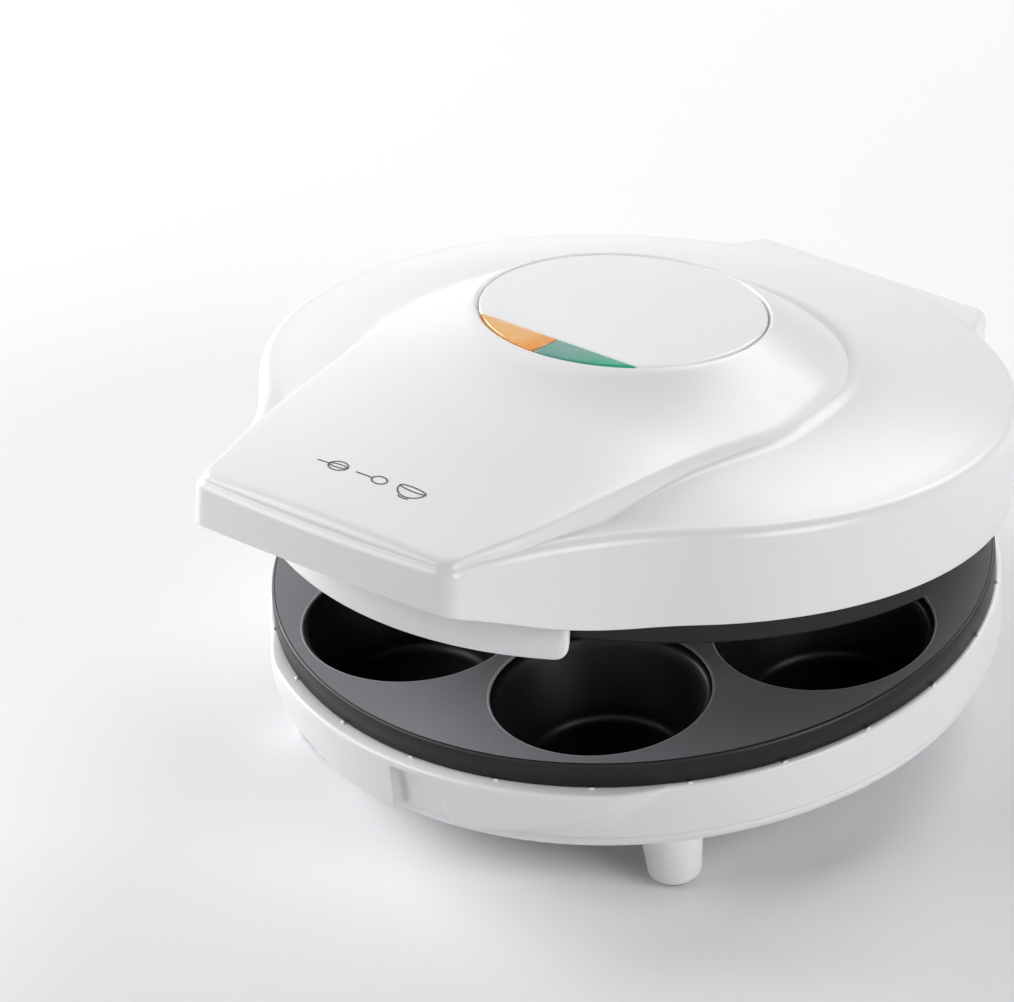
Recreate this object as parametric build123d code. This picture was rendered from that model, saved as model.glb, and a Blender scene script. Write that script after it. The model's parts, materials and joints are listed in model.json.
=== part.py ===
from build123d import *
import os
from math import asin, atan2, cos, degrees, radians, sin, sqrt

# Countertop cupcake maker with seven cups and a lid hinged at the back.
# Lengths are millimetres, +Z is up, -Y is the front with the handle.
# Heights in the functions count from the seam where the two plates meet.
# The lid is drawn shut, then opened to the pose in which it is stored.

# Whole machine
seam_height = 48.3          # deck of the lower plate above the table
shut_gap = 0.4              # between the two decks when the lid is shut
rest_opening = 10.9         # degrees that the stored lid stands open
overrun = 2.0               # how far a cutting tool passes a face
fit_gap = 0.3               # round a piece that drops into another
touch_gap = 0.1             # round a screw or a spigot

# Baking plates
plate_radius = 108.0
deck_thickness = 2.5
rim_height = 8.0            # black wall that shows below the seam
rim_step = 2.2              # width of the rim that rests on the housing
spigot_wall = 2.2
spigot_height = 4.0         # ring that drops inside the housing
deck_round = 0.8
cups_in_ring = 6
cup_gap = 5.9               # deck between the mouths of two cups
cup_margin = 5.2            # deck between a mouth and the rim
cup_mouth_radius = (plate_radius - cup_margin - cup_gap) / 3
cup_ring_radius = 2 * cup_mouth_radius + cup_gap
cup_draft = 9.3             # a cup's floor is this much narrower than its mouth
cup_floor_radius = cup_mouth_radius - cup_draft
cup_depth = 27.0
cup_floor_round = 3.5
cup_lip = 0.8
cup_wall = 1.8
dimple_inset = 1.3          # the upper plate's recesses are narrower than the cups
dimple_radius = cup_mouth_radius - dimple_inset
dimple_depth = 9.0

# Heating elements, alike below and above
element_radius = 3.2
element_bend = 8.0
element_leg_angle = 120.0   # degrees from the front, one leg on each side
element_margin = 14.0       # from the end of a leg to the plate's edge
element_leg_end = plate_radius - element_margin
lower_tube_depth = 6.2      # deck face to the near side of the tube
upper_tube_depth = 4.2
seat_width = 4.0
bead_radius = 2.4
bead_length = 3.0
tab_width = 4.8
tab_thickness = 0.8
tab_length = 5.0
clamp_angles = (0.0, 60.0, 300.0)
clamp_step = 10.75          # from the middle of the tube out to the clamp's boss
clamp_boss_reach = cup_ring_radius / 2 + clamp_step
clamp_boss_radius = 3.4
clamp_width = 9.0
clamp_thickness = 1.0
clamp_length = 19.0
clamp_tail = 4.5            # from the boss to the clamp's outer end
clamp_outer_end = clamp_boss_reach + clamp_tail
clamp_inner_end = clamp_outer_end - clamp_length

# Screws
small_shank = 1.5
small_head = 3.0
small_head_height = 1.6
small_length = 7.0
plate_shank = 1.7
plate_head = 3.2
plate_head_height = 1.8
plate_length = 9.0

# Places where each plate is screwed down
plate_boss_angles = (60.0, 180.0, 300.0)
plate_boss_inset = 8.2      # from the plate's edge to a boss
plate_boss_reach = plate_radius - plate_boss_inset
plate_boss_radius = 3.3
lower_boss_drop = 9.0       # the lower plate's bosses end this far below its rim
lower_boss_end = rim_height + lower_boss_drop
lug_thickness = 3.0
lug_width = 12.0
lug_tail = 5.8              # a lug ends this far inside its screw
lug_inner_end = plate_boss_reach - lug_tail

# Base housing
housing_wall = 2.5
base_margin = 1.6           # the housing stands this far outside the plate
base_draft = 0.8            # and draws in this much towards its foot
base_top_radius = plate_radius + base_margin
base_foot_radius = base_top_radius - base_draft
base_wall_height = 17.0
base_wall_end = rim_height + base_wall_height   # depth of the joint between housing and cover
ledge_gap = 0.4             # between the plate's spigot and the ledge round it
ledge_thickness = 3.0
chin_reach = 2.9            # ledge under the handle, below the lid's apron
chin_radius = base_top_radius + chin_reach
chin_angle = 36.0           # half of its full-width stretch, in degrees
chin_end_angle = 48.0
chin_depth = base_wall_height   # it ends level with the housing's foot at the very front
chin_run = 31.0             # from there its underside rises to the ledge over this distance
recess_angle = 3.1          # shallow finger recess in the chin's front
recess_width = 17.6
recess_drop = 2.6           # lip left above the recess
cover_boss_angles = (15.0, 135.0, 225.0, 345.0)
cover_boss_inset = 8.8      # from the housing's foot to a boss
cover_boss_reach = base_foot_radius - cover_boss_inset
cover_boss_radius = 3.6
cover_boss_height = 7.0

# Bottom cover
cover_wall = 2.2
cover_step = 1.1            # the cover stands this far inside the housing
cover_radius = base_foot_radius - cover_step
cover_side_height = 3.6
cover_side_end = base_wall_end + cover_side_height   # depth at which the side turns under
cover_turn = 13.7           # width of the slope between its side and its floor
cover_floor_radius = cover_radius - cover_turn
cover_dish = 8.4
cover_floor_depth = cover_side_end + cover_dish
cover_round = 4.0
cover_lip_height = 1.4
cover_post_radius = 4.9
cover_seat_step = 4.0       # the screws' heads sit this far below the joint
cover_seat_depth = base_wall_end + cover_seat_step
vent_count = 10
vent_inset = 39.0           # from the edge of the cover's floor to the vents
vent_reach = cover_floor_radius - vent_inset
vent_length = 18.0
vent_width = 3.0

# Legs and pads
leg_inset = 10.7            # from the cover's side to a leg
leg_reach = cover_radius - leg_inset
leg_angles = (43.0, 146.0, 214.0, 317.0)
leg_top_radius = 9.5
leg_foot_radius = 7.7
leg_round = 3.0
pad_radius = 4.6
pad_recess = 1.2
pad_stand_off = 1.2

# Hinge
hinge_step = 8.4            # pin axis behind the housing's wall
hinge_reach = base_top_radius + hinge_step
hinge_drop = 5.0            # pin axis below the seam
pin_radius = 3.0
pin_gap = 0.06
pin_head = 4.6
pin_head_height = 1.5
arm_radius = 7.5
arm_inner_x = 13.0
arm_width = 10.0
arm_side_gap = 0.4
arm_strap = 7.4
arm_rise = 6.0              # how far the arms run up inside the lid's rear block
ear_radius = 8.0
ear_width = 9.0
ear_root = 4.5              # its root starts this far inside the wall
ear_top = 9.5               # depth of the upper corner of the ear's root
ear_bottom = 23.0

# Lid shell
lid_wall = 2.5
lid_margin = 4.0            # the skirt stands this far outside the plate
lid_radius = plate_radius + lid_margin
skirt_start = 8.0           # lower edge of the skirt above the seam
ridge_height = 37.5
ridge_round = 4.0
brow_share = 0.589          # where the shoulder meets the domed middle
brow_radius = lid_radius * brow_share
brow_rise = 9.5
brow_height = ridge_height + brow_rise
dome_setforward = 10.0
dome_overlap = 0.5          # the dome covers the edge of the brow
dome_radius = brow_radius + dome_overlap
dome_step = 1.0
dome_edge_height = brow_height + dome_step
dome_rise = 13.0
badge_height = dome_edge_height + dome_rise
badge_share = 0.641         # the rest of the dome is the sloping band round the badge
badge_radius = dome_radius * badge_share
badge_thickness = 2.0
badge_rim = 1.6
handle_length = 36.0        # from the round skirt to the handle's front
handle_front = lid_radius + handle_length
handle_share = 0.41964
handle_half_width = lid_radius * handle_share
handle_bow = 2.5
handle_corner = 7.0
hip_angle = 47.0            # where the handle's side leaves the round skirt
handle_back_reach = 20.0
neck_run = 42.0             # from the skirt's reach back to the middle station
handle_neck_reach = lid_radius
handle_mid_reach = lid_radius - neck_run
half_width_steps = (19.0, 13.5, 7.0, -2.5)   # raised top beside the handle's half width, back to front
edge_rises = (9.5, 8.0, 4.0, 0.7)            # its side edges above the ridge
crown_rises = (22.0, 16.5, 9.0, 2.1)         # its middle above the ridge
handle_edge_round = 1.8
handle_step = 1.6           # the raised top stands this far inside the outline
slope_inset = 8.0           # the underside starts to rise this far inside the skirt
slope_start = lid_radius - slope_inset
slope_end_height = 23.0     # height of the underside at the handle's front
rear_share = 0.384
rear_half_width = lid_radius * rear_share
rear_overlap = 1.0          # the back of the lid passes the pin's axis
rear_reach = hinge_reach + rear_overlap
rear_hip_angle = 32.0
rear_underside = 14.0
rear_drop = 2.5             # its top below the ridge
rear_top = ridge_height - rear_drop
rear_round = 3.0
rear_corner = 5.0

# Handle's lower cover, with the apron in front of the plates
apron_step = 2.4            # the apron stands this far outside the skirt
apron_radius = lid_radius + apron_step
apron_wall = 2.2
apron_angle = 28.2
apron_drop = 6.2
apron_corner = 3.5
under_wall = 2.2
under_share = 0.554
under_half_width = lid_radius * under_share
handle_screw_x = 34.0
handle_screw_inset = 19.0   # from the handle's front
handle_screw_reach = handle_front - handle_screw_inset
handle_post_radius = 4.2

# Reflectors
sheet = 0.8
reflector_inset = 3.4       # from the plate's edge to the steel frame's
upper_reflector_radius = plate_radius - reflector_inset
dish_band = 20.6            # flat band round the dished middle
upper_dish_radius = upper_reflector_radius - dish_band
dish_rise = 4.0
front_tongue_half = 28.0
front_tongue_length = 7.0   # past the round skirt, into the handle
front_tongue_reach = lid_radius + front_tongue_length
rear_tongue_half = 11.5
rear_tongue_gap = 3.4
rear_tongue_reach = rear_reach - rear_tongue_gap
frame_screw_x = 20.0
frame_screw_step = 1.0
frame_screw_reach = lid_radius + frame_screw_step
frame_post_radius = 4.0
lower_reflector_inset = 1.0     # inside the edge of the cover's floor
lower_reflector_radius = cover_floor_radius - lower_reflector_inset
lower_reflector_rise = 7.0
lower_reflector_depth = cover_floor_depth - lower_reflector_rise
lower_reflector_edge = 3.4
stand_angles = (0.0, 120.0, 240.0)
stand_reach = 30.0
stand_radius = 3.5

# Lenses, lamps and badge
lens_depth = 11.6           # from the badge's front edge to the straight edge of the lenses
chord = badge_radius - lens_depth
lens_gap = 0.15
window_inset = 3.0
lamp_box_length = 40.0
lamp_box_width = 9.0
lamp_box_height = 9.0
lamp_box_wall = 1.5
lamp_radius = 2.6
lamp_length = 13.0
lamp_spacing = 18.0

# Controls and wiring
thermostat_radius = 7.5
thermostat_cap = 5.0
thermostat_inset = 15.0     # from the plate's edge
thermostat_reach = plate_radius - thermostat_inset
thermostat_height = 8.0
fuse_radius = 2.0
fuse_length = 11.0
fuse_lead = 0.5
fuse_lead_length = 5.0
fuse_inset = 38.0
fuse_reach = plate_radius - fuse_inset
block_depth = 6.4
block_length = 20.0
block_height = 8.0
block_inset = 17.0
block_reach = plate_radius - block_inset
block_poles = 3
pole_bore = 1.6
shelf_depth = 22.0
shelf_angle = 240.0
shelf_width = 24.0
shelf_inset = 21.0
shelf_inner_end = plate_radius - shelf_inset
lid_block_back = plate_radius - block_inset
gland_radius = 4.6
gland_bore = 3.2
gland_flange = 7.0
gland_flange_thickness = 1.6
gland_length = 8.1
gland_inner_end = base_top_radius - gland_length
gland_nut = 5.5
gland_nut_length = 2.0
gland_depth = 17.7
gland_angle = 207.0

# Sizes that follow from the ones above
rim_inner = plate_radius - rim_step
spigot_inner = rim_inner - spigot_wall
ring_radius = cup_ring_radius / 2
pin_hole = pin_radius + pin_gap
slope = atan2(slope_end_height - skirt_start, handle_front - slope_start)
ear_inner_x = arm_inner_x + arm_width + arm_side_gap
frame_height = rear_underside + lid_wall + touch_gap
floor_top = -cover_floor_depth + cover_wall
leg_end = -seam_height + pad_stand_off
seat_top = badge_height - badge_thickness
badge_step = badge_radius + fit_gap + badge_rim
ledge_inner = rim_inner + ledge_gap


def around(angle, reach, height=0.0):
    """Point at an angle from the front, counted towards +X."""
    turn = radians(angle)
    return Vector(reach * sin(turn), -reach * cos(turn), height)


def stand(angle, reach):
    """Frame at that point with its own -Y pointing outwards."""
    return Rot(0, 0, angle) * Pos(0, -reach, 0)


def turned(*points):
    """Solid of revolution about Z from an outline of radii and heights."""
    return revolve(make_face(Plane.XZ * Polyline(*points, close=True)), Axis.Z)


def column(radius, low, high):
    """Upright cylinder between two heights."""
    return Pos(0, 0, low) * Cylinder(radius, high - low, align=(Align.CENTER, Align.CENTER, Align.MIN))


def block(length, width, low, high):
    """Upright box between two heights, centred on its frame."""
    return Pos(0, 0, low) * Box(length, width, high - low, align=(Align.CENTER, Align.CENTER, Align.MIN))


def side_prism(points, half_width):
    """Prism along X from an outline of distances forward and heights."""
    outline = Polyline(*[(0, -forward, height) for forward, height in points], close=True)
    return extrude(make_face(outline), half_width, dir=(1, 0, 0), both=True)


def screw(shank, head, head_height, length):
    """Screw that points up, with the underside of its head at height zero."""
    return column(shank, 0, length) + column(head, -head_height, 0)


def small_screw():
    """Screw for clamps, covers and posts."""
    return screw(small_shank, small_head, small_head_height, small_length)


def plate_screw():
    """Longer screw that holds a baking plate."""
    return screw(plate_shank, plate_head, plate_head_height, plate_length)


def cup_places():
    """Centres of the seven cups, the middle one first."""
    step = 360 / cups_in_ring
    return [Vector(0, 0, 0)] + [around(step * (k + 1 / 2), cup_ring_radius) for k in range(cups_in_ring)]


def cup_body():
    """Outside of one deep cup, hanging below the deck."""
    return turned(
        (0, 0), (cup_mouth_radius + cup_wall, 0),
        (cup_floor_radius + cup_wall, -cup_depth - cup_wall), (0, -cup_depth - cup_wall))


def cup_hollow():
    """Inside of one deep cup, with a rounded floor and lip."""
    wall = FilletPolyline(
        (0, -cup_depth), (cup_floor_radius, -cup_depth), (cup_mouth_radius, -cup_lip),
        (cup_mouth_radius + cup_lip, 0), radius=(cup_floor_round, cup_lip / 2))
    top = Polyline(wall @ 1, (cup_mouth_radius + cup_lip, overrun), (0, overrun), wall @ 0)
    return revolve(make_face(Plane.XZ * (wall + top)), Axis.Z)


def ball_cap(radius, depth, extra):
    """Cap of a ball with a given mouth and depth, grown outwards by extra."""
    ball = (radius ** 2 + depth ** 2) / (2 * depth)
    cap = Pos(0, 0, ball - depth) * Sphere(ball + extra)
    return cap & column(ball, -depth - cup_wall - overrun, overrun if extra == 0 else 0)


def baking_plate(body, hollow, rim, tube_depth, boss_end):
    """Cast plate, deck up and cups hanging, with its element seats and bosses."""
    tube_bottom = tube_depth + 2 * element_radius
    leg = element_leg_end - ring_radius - element_bend
    shell = turned(
        (0, 0), (plate_radius - deck_round, 0), (plate_radius, -deck_round), (plate_radius, -rim),
        (rim_inner, -rim), (rim_inner, -rim - spigot_height), (spigot_inner, -rim - spigot_height),
        (spigot_inner, -deck_thickness), (0, -deck_thickness))
    inside = -deck_thickness / 2
    seat = column(ring_radius + seat_width / 2, -tube_depth, inside)
    seat -= column(ring_radius - seat_width / 2, -tube_depth - overrun, 0)
    added = [seat]
    for side in (-1, 1):
        added.append(stand(side * element_leg_angle, element_leg_end - leg / 2) * block(
            seat_width, leg, -tube_depth, inside))
    for angle in clamp_angles:
        added.append(stand(angle, clamp_boss_reach) * column(clamp_boss_radius, -tube_bottom, inside))
    for angle in plate_boss_angles:
        added.append(stand(angle, plate_boss_reach) * column(plate_boss_radius, -boss_end, inside))
    added += [Pos(place) * body for place in cup_places()]
    cut = [Pos(place) * hollow for place in cup_places()]
    for angle in clamp_angles:
        cut.append(stand(angle, clamp_boss_reach) * column(
            small_shank + touch_gap, -tube_bottom - overrun, -tube_bottom - clamp_thickness + small_length))
    for angle in plate_boss_angles:
        cut.append(stand(angle, plate_boss_reach) * column(
            plate_shank + touch_gap, -boss_end - overrun, -boss_end + plate_length))
    return (shell + added) - cut


def heating_element(tube_depth):
    """Tube round the middle cup whose two ends run out between the ring cups."""
    level = -tube_depth - element_radius
    lean = degrees(asin(element_bend / (ring_radius + element_bend)))
    leg_start = sqrt((ring_radius + element_bend) ** 2 - element_bend ** 2)
    inwards = around(-element_leg_angle, -1)
    first = Line(around(-element_leg_angle, element_leg_end), around(-element_leg_angle, leg_start))
    into = JernArc(first @ 1, inwards, element_bend, lean - 90)
    ring = JernArc(into @ 1, into % 1, ring_radius, 2 * (element_leg_angle - lean))
    out = JernArc(ring @ 1, ring % 1, element_bend, lean - 90)
    last = Line(out @ 1, around(element_leg_angle, element_leg_end))
    path = Wire([first, into, ring, out, last])
    section = Plane(origin=first @ 0, z_dir=inwards) * Circle(element_radius)
    return Pos(0, 0, level) * sweep(section, path)


def element_terminals(tube_depth):
    """Ceramic bead and spade tab on each end of the element."""
    level = -tube_depth - element_radius
    pieces = []
    for side in (-1, 1):
        place = stand(side * element_leg_angle, element_leg_end)
        bead = Pos(0, -bead_length / 2, level) * Rot(90, 0, 0) * Cylinder(bead_radius, bead_length)
        tab = Pos(0, -bead_length - tab_length / 2, level) * Box(tab_width, tab_length, tab_thickness)
        pieces.append(place * (bead + tab))
    return Compound(children=pieces)


def element_clamps(tube_depth):
    """Steel straps that hold the element against its seat."""
    near = -tube_depth - 2 * element_radius
    length = clamp_outer_end - clamp_inner_end
    strap = block(clamp_width, length, near - clamp_thickness, near)
    strap = fillet(strap.edges().filter_by(Axis.Z), clamp_width / 4)
    middle = (clamp_outer_end + clamp_inner_end) / 2
    hole = Pos(0, middle - clamp_boss_reach, 0) * column(
        small_shank + touch_gap, near - clamp_thickness - overrun, near + overrun)
    strap -= hole
    return Compound(children=[stand(angle, middle) * strap for angle in clamp_angles])


def clamp_screws(tube_depth):
    """Screws of the element clamps."""
    level = -tube_depth - 2 * element_radius - clamp_thickness
    return Compound(children=[
        stand(angle, clamp_boss_reach) * Pos(0, 0, level) * small_screw() for angle in clamp_angles])


def thermostat():
    """Disc thermostat pressed against the underside of a deck."""
    top = -deck_thickness - touch_gap
    body = column(thermostat_radius, top - thermostat_height + tab_length / 2, top)
    cap = column(thermostat_cap, top - thermostat_height, top)
    tabs = [Pos(side * thermostat_cap / 2, 0, 0) * block(
        tab_thickness, tab_width, top - thermostat_height - tab_length, top - thermostat_height + tab_thickness)
        for side in (-1, 1)]
    return stand(0, thermostat_reach) * (body + [cap, *tabs])


def terminal_block():
    """Row of screw terminals, standing on its base."""
    body = block(block_length, block_depth, 0, block_height)
    step = block_length / block_poles
    for k in range(block_poles):
        across = step * (k + 1 / 2) - block_length / 2
        body -= Pos(across, 0, block_height / 2) * Rot(90, 0, 0) * Cylinder(pole_bore, block_depth + overrun)
        body -= Pos(across, 0, 0) * column(pole_bore, block_height / 2, block_height + overrun)
    return body


def lower_baking_plate():
    """Plate with the seven deep cups."""
    return baking_plate(cup_body(), cup_hollow(), rim_height, lower_tube_depth, lower_boss_end)


def upper_baking_plate():
    """Plate with the shallow recesses, facing down in the lid."""
    dimple = ball_cap(dimple_radius, dimple_depth, 0)
    body = ball_cap(dimple_radius, dimple_depth, cup_wall)
    plate = baking_plate(body, dimple, skirt_start - shut_gap, upper_tube_depth, frame_height - shut_gap)
    return overhead(plate)


def overhead(piece):
    """Turn a piece of the lower plate over to its place above the seam."""
    return Pos(0, 0, shut_gap) * mirror(piece, about=Plane.XY)


def chin():
    """Crescent ledge under the handle, with its sloping underside."""
    middle_radius = base_top_radius - housing_wall / 2
    left, right = around(-chin_angle, chin_radius), around(chin_angle, chin_radius)
    far_left, far_right = around(-chin_end_angle, middle_radius), around(chin_end_angle, middle_radius)
    outline = [
        ThreePointArc(left, around(0, chin_radius), right),
        TangentArc(right, far_right, tangent=around(chin_angle + 90, 1)),
        Line(far_right, far_left),
        TangentArc(left, far_left, tangent=around(-chin_angle - 90, 1)),
    ]
    crescent = Pos(0, 0, -rim_height) * extrude(make_face(outline), -chin_depth - overrun)
    crescent &= side_prism((
        (chin_radius + overrun, -rim_height), (chin_radius + overrun, -rim_height - chin_depth),
        (chin_radius, -rim_height - chin_depth), (chin_radius - chin_run, -rim_height)), chin_radius)
    recess = stand(recess_angle, base_top_radius + chin_reach) * block(
        recess_width, 2 * chin_reach, -seam_height, -rim_height - recess_drop)
    return crescent - [recess, column(middle_radius, -seam_height, 0)]


def hinge_ear():
    """One lobe on the back of the base that holds a hinge pin."""
    root = base_top_radius - housing_wall - ear_root
    outline = Plane.YZ * make_hull([
        (Pos(hinge_reach, -hinge_drop) * Circle(ear_radius)).edge(),
        Line((root, -ear_top), (root, -ear_bottom))])
    ear = Pos(ear_inner_x, 0, 0) * extrude(outline, ear_width)
    return ear - column(base_top_radius - housing_wall / 2, -base_wall_end, 0)


def base_housing():
    """Ring-shaped wall of the base with its ledge, chin, ears, lugs and bosses."""
    inner_top = base_top_radius - housing_wall
    inner_foot = base_foot_radius - housing_wall
    low, ledge_low = -base_wall_end, -rim_height - ledge_thickness
    ring = turned(
        (ledge_inner, -rim_height), (base_top_radius, -rim_height), (base_foot_radius, low),
        (inner_foot, low), (inner_top, ledge_low), (ledge_inner, ledge_low))
    shape = ring + [chin(), hinge_ear(), mirror(hinge_ear(), about=Plane.YZ)]
    middle = inner_foot + housing_wall / 2
    inner_parts = []
    for angle in plate_boss_angles:
        span = middle - lug_inner_end
        inner_parts.append(stand(angle, middle - span / 2) * block(
            lug_width, span, -lower_boss_end - lug_thickness, -lower_boss_end))
    for angle in cover_boss_angles:
        span = middle - cover_boss_reach
        web = block(cover_boss_radius, span, low + cover_lip_height + fit_gap, low + cover_boss_height)
        inner_parts.append(stand(angle, cover_boss_reach) * column(cover_boss_radius, low, low + cover_boss_height))
        inner_parts.append(stand(angle, middle - span / 2) * web)
    span = middle - shelf_inner_end
    inner_parts.append(stand(shelf_angle, middle - span / 2) * block(
        shelf_width, span, low + cover_lip_height + fit_gap, -shelf_depth))
    shape += inner_parts
    cuts = [Pos(0, hinge_reach, -hinge_drop) * Rot(0, 90, 0) * Cylinder(pin_hole, base_top_radius)]
    cuts.append(stand(gland_angle, base_top_radius) * Pos(0, 0, -gland_depth) * Rot(90, 0, 0) * Cylinder(
        gland_radius + touch_gap, base_top_radius - gland_inner_end))
    for angle in plate_boss_angles:
        cuts.append(stand(angle, plate_boss_reach) * column(
            plate_shank + touch_gap, -lower_boss_end - lug_thickness - overrun, -lower_boss_end + overrun))
    for angle in cover_boss_angles:
        cuts.append(stand(angle, cover_boss_reach) * column(
            small_shank + touch_gap, low - overrun, -cover_seat_depth + small_length + touch_gap))
    return shape - cuts


def cover_form(inset):
    """Dished form of the bottom cover, drawn in by an inset."""
    outline = FilletPolyline(
        (0, -cover_floor_depth + inset), (cover_floor_radius - inset / 2, -cover_floor_depth + inset),
        (cover_radius - inset, -cover_side_end + inset / 2), (cover_radius - inset, -base_wall_end),
        radius=(cover_round, cover_round))
    top = -base_wall_end + (overrun if inset else 0)
    lid = Polyline(outline @ 1, (cover_radius - inset, top), (0, top), outline @ 0) if inset else Polyline(
        outline @ 1, (0, top), outline @ 0)
    return revolve(make_face(Plane.XZ * (outline + lid)), Axis.Z)


def base_bottom_cover():
    """Dished floor of the base with legs, vents, screw posts and stand-offs."""
    lip_outer = base_foot_radius - housing_wall - fit_gap
    lip_top = -base_wall_end + cover_lip_height
    shape = cover_form(0)
    leg = Pos(0, 0, leg_end) * Cone(
        leg_foot_radius, leg_top_radius, -cover_side_end - leg_end, align=(Align.CENTER, Align.CENTER, Align.MIN))
    leg = fillet(leg.edges().group_by(Axis.Z)[0], leg_round)
    shape += [stand(angle, leg_reach) * leg for angle in leg_angles]
    cavity = cover_form(cover_wall)
    posts = [stand(angle, cover_boss_reach) * column(cover_post_radius, -cover_floor_depth, -base_wall_end)
             for angle in cover_boss_angles]
    posts += [stand(angle, stand_reach) * column(stand_radius, -cover_floor_depth, -lower_reflector_depth - sheet)
              for angle in stand_angles]
    shape -= cavity - posts
    lip = column(lip_outer, -cover_side_end, lip_top) - column(cover_radius - cover_wall - touch_gap, -cover_floor_depth, 0)
    shape += lip
    cuts = []
    for angle in cover_boss_angles:
        place = stand(angle, cover_boss_reach)
        cuts.append(place * column(small_shank + touch_gap, -cover_floor_depth, overrun - base_wall_end))
        cuts.append(place * column(small_head + fit_gap, -seam_height, -cover_seat_depth))
    for k in range(vent_count):
        slot = Rot(0, 0, 90) * SlotOverall(vent_length, vent_width)
        cuts.append(stand(360 * (k + 1 / 2) / vent_count, vent_reach) * Pos(0, 0, floor_top + overrun) * extrude(
            slot, -cover_wall - 2 * overrun))
    for angle in leg_angles:
        cuts.append(stand(angle, leg_reach) * column(pad_radius, leg_end - overrun, leg_end + pad_recess))
    return shape - cuts


def foot_pads():
    """Rubber pad under each leg."""
    pad = column(pad_radius, -seam_height, leg_end + pad_recess)
    return Compound(children=[stand(angle, leg_reach) * pad for angle in leg_angles])


def lower_reflector():
    """Steel tray between the cups and the bottom cover."""
    low = -lower_reflector_depth - sheet
    foot = -lower_reflector_depth - lower_reflector_edge
    return turned(
        (0, low), (lower_reflector_radius, low), (lower_reflector_radius, foot),
        (lower_reflector_radius + sheet, foot), (lower_reflector_radius + sheet, -lower_reflector_depth),
        (0, -lower_reflector_depth))


def hinge_pins():
    """Two headed pins on the lid's axis."""
    length = ear_inner_x + ear_width - arm_inner_x
    shank = Pos(arm_inner_x + length / 2, 0, 0) * Rot(0, 90, 0) * Cylinder(pin_radius, length)
    head = Pos(arm_inner_x + length + pin_head_height / 2, 0, 0) * Rot(0, 90, 0) * Cylinder(pin_head, pin_head_height)
    pin = Pos(0, hinge_reach, -hinge_drop) * (shank + head)
    return Compound(children=[pin, mirror(pin, about=Plane.YZ)])


def lower_plate_screws():
    """Screws from below through the housing's lugs into the plate."""
    level = -lower_boss_end - lug_thickness
    return Compound(children=[
        stand(angle, plate_boss_reach) * Pos(0, 0, level) * plate_screw() for angle in plate_boss_angles])


def cover_screws():
    """Screws from below through the bottom cover into the housing."""
    return Compound(children=[
        stand(angle, cover_boss_reach) * Pos(0, 0, -cover_seat_depth) * small_screw() for angle in cover_boss_angles])


def thermal_fuse():
    """Fuse with its two leads, lying along the underside of the deck."""
    level = -deck_thickness - touch_gap - fuse_radius
    body = Rot(90, 0, 0) * Cylinder(fuse_radius, fuse_length)
    leads = Rot(90, 0, 0) * Cylinder(fuse_lead, fuse_length + 2 * fuse_lead_length)
    return stand(0, fuse_reach) * Pos(0, 0, level) * (body + leads)


def cord_gland():
    """Bushing in the back wall where the supply lead enters."""
    wall = base_top_radius
    length = wall - gland_inner_end + gland_flange_thickness
    body = Pos(0, length / 2 - gland_flange_thickness, 0) * Rot(90, 0, 0) * Cylinder(gland_radius, length)
    flange = Pos(0, -gland_flange_thickness / 2, 0) * Rot(90, 0, 0) * Cylinder(gland_flange, gland_flange_thickness)
    nut_place = wall - base_foot_radius + housing_wall + fit_gap + gland_nut_length / 2
    nut = Pos(0, nut_place, 0) * Rot(90, 0, 0) * Cylinder(gland_nut, gland_nut_length)
    bore = Pos(0, length / 2, 0) * Rot(90, 0, 0) * Cylinder(gland_bore, 2 * length)
    return stand(gland_angle, wall) * Pos(0, 0, -gland_depth) * (body + [flange, nut] - bore)


def flare(hip, half, reach, bow, corner, inset):
    """Plan that leaves the round skirt in two hollow curves and ends in a blunt front."""
    heading = around(hip, 1)
    end = Vector(half, -reach, 0)
    hollow = (heading * lid_radius - end).length ** 2 / (2 * (heading.dot(end) - lid_radius))
    length = reach + bow - inset
    plan = Pos(0, -length / 2) * Rectangle(2 * heading.X * (lid_radius - inset), length)
    for side in (-1, 1):
        plan -= Pos(around(side * hip, lid_radius + hollow)) * Circle(hollow + inset)
    if bow:
        front = (half ** 2 + bow ** 2) / (2 * bow)
        plan &= Pos(0, front - reach - bow) * Circle(front - inset)
    return fillet(plan.vertices().sort_by(Axis.Y)[:2], corner - inset)


def lid_outline(inset):
    """Plan of the lid's round skirt and handle, drawn in by an inset."""
    return Circle(lid_radius - inset) + flare(
        hip_angle, handle_half_width, handle_front, handle_bow, handle_corner, inset)


def rear_outline(inset):
    """Plan of the block on the back of the lid, drawn in by an inset."""
    return Rot(0, 0, 180) * flare(rear_hip_angle, rear_half_width, rear_reach, 0, rear_corner, inset)


def raised_top(inset):
    """Crowned top of the handle, lofted from the badge out to the front."""
    floor = ridge_height - ridge_round - inset
    past = handle_front + handle_bow + overrun
    reaches = (handle_back_reach, handle_mid_reach, handle_neck_reach, past)
    sections = []
    for forward, widening, edge_rise, crown_rise in zip(reaches, half_width_steps, edge_rises, crown_rises):
        side = handle_half_width + widening - inset
        edge = ridge_height + edge_rise
        crown = ridge_height + crown_rise
        face = make_face([
            Line((-side, floor), (side, floor)),
            Line((side, floor), (side, edge - inset)),
            ThreePointArc((side, edge - inset), (0, crown - inset), (-side, edge - inset)),
            Line((-side, edge - inset), (-side, floor))])
        face = fillet(face.vertices().sort_by(Axis.Y)[-2:], handle_edge_round)
        sections.append(Plane(origin=(0, -forward, 0), x_dir=(1, 0, 0), z_dir=(0, -1, 0)) * face)
    return loft(sections)


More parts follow.
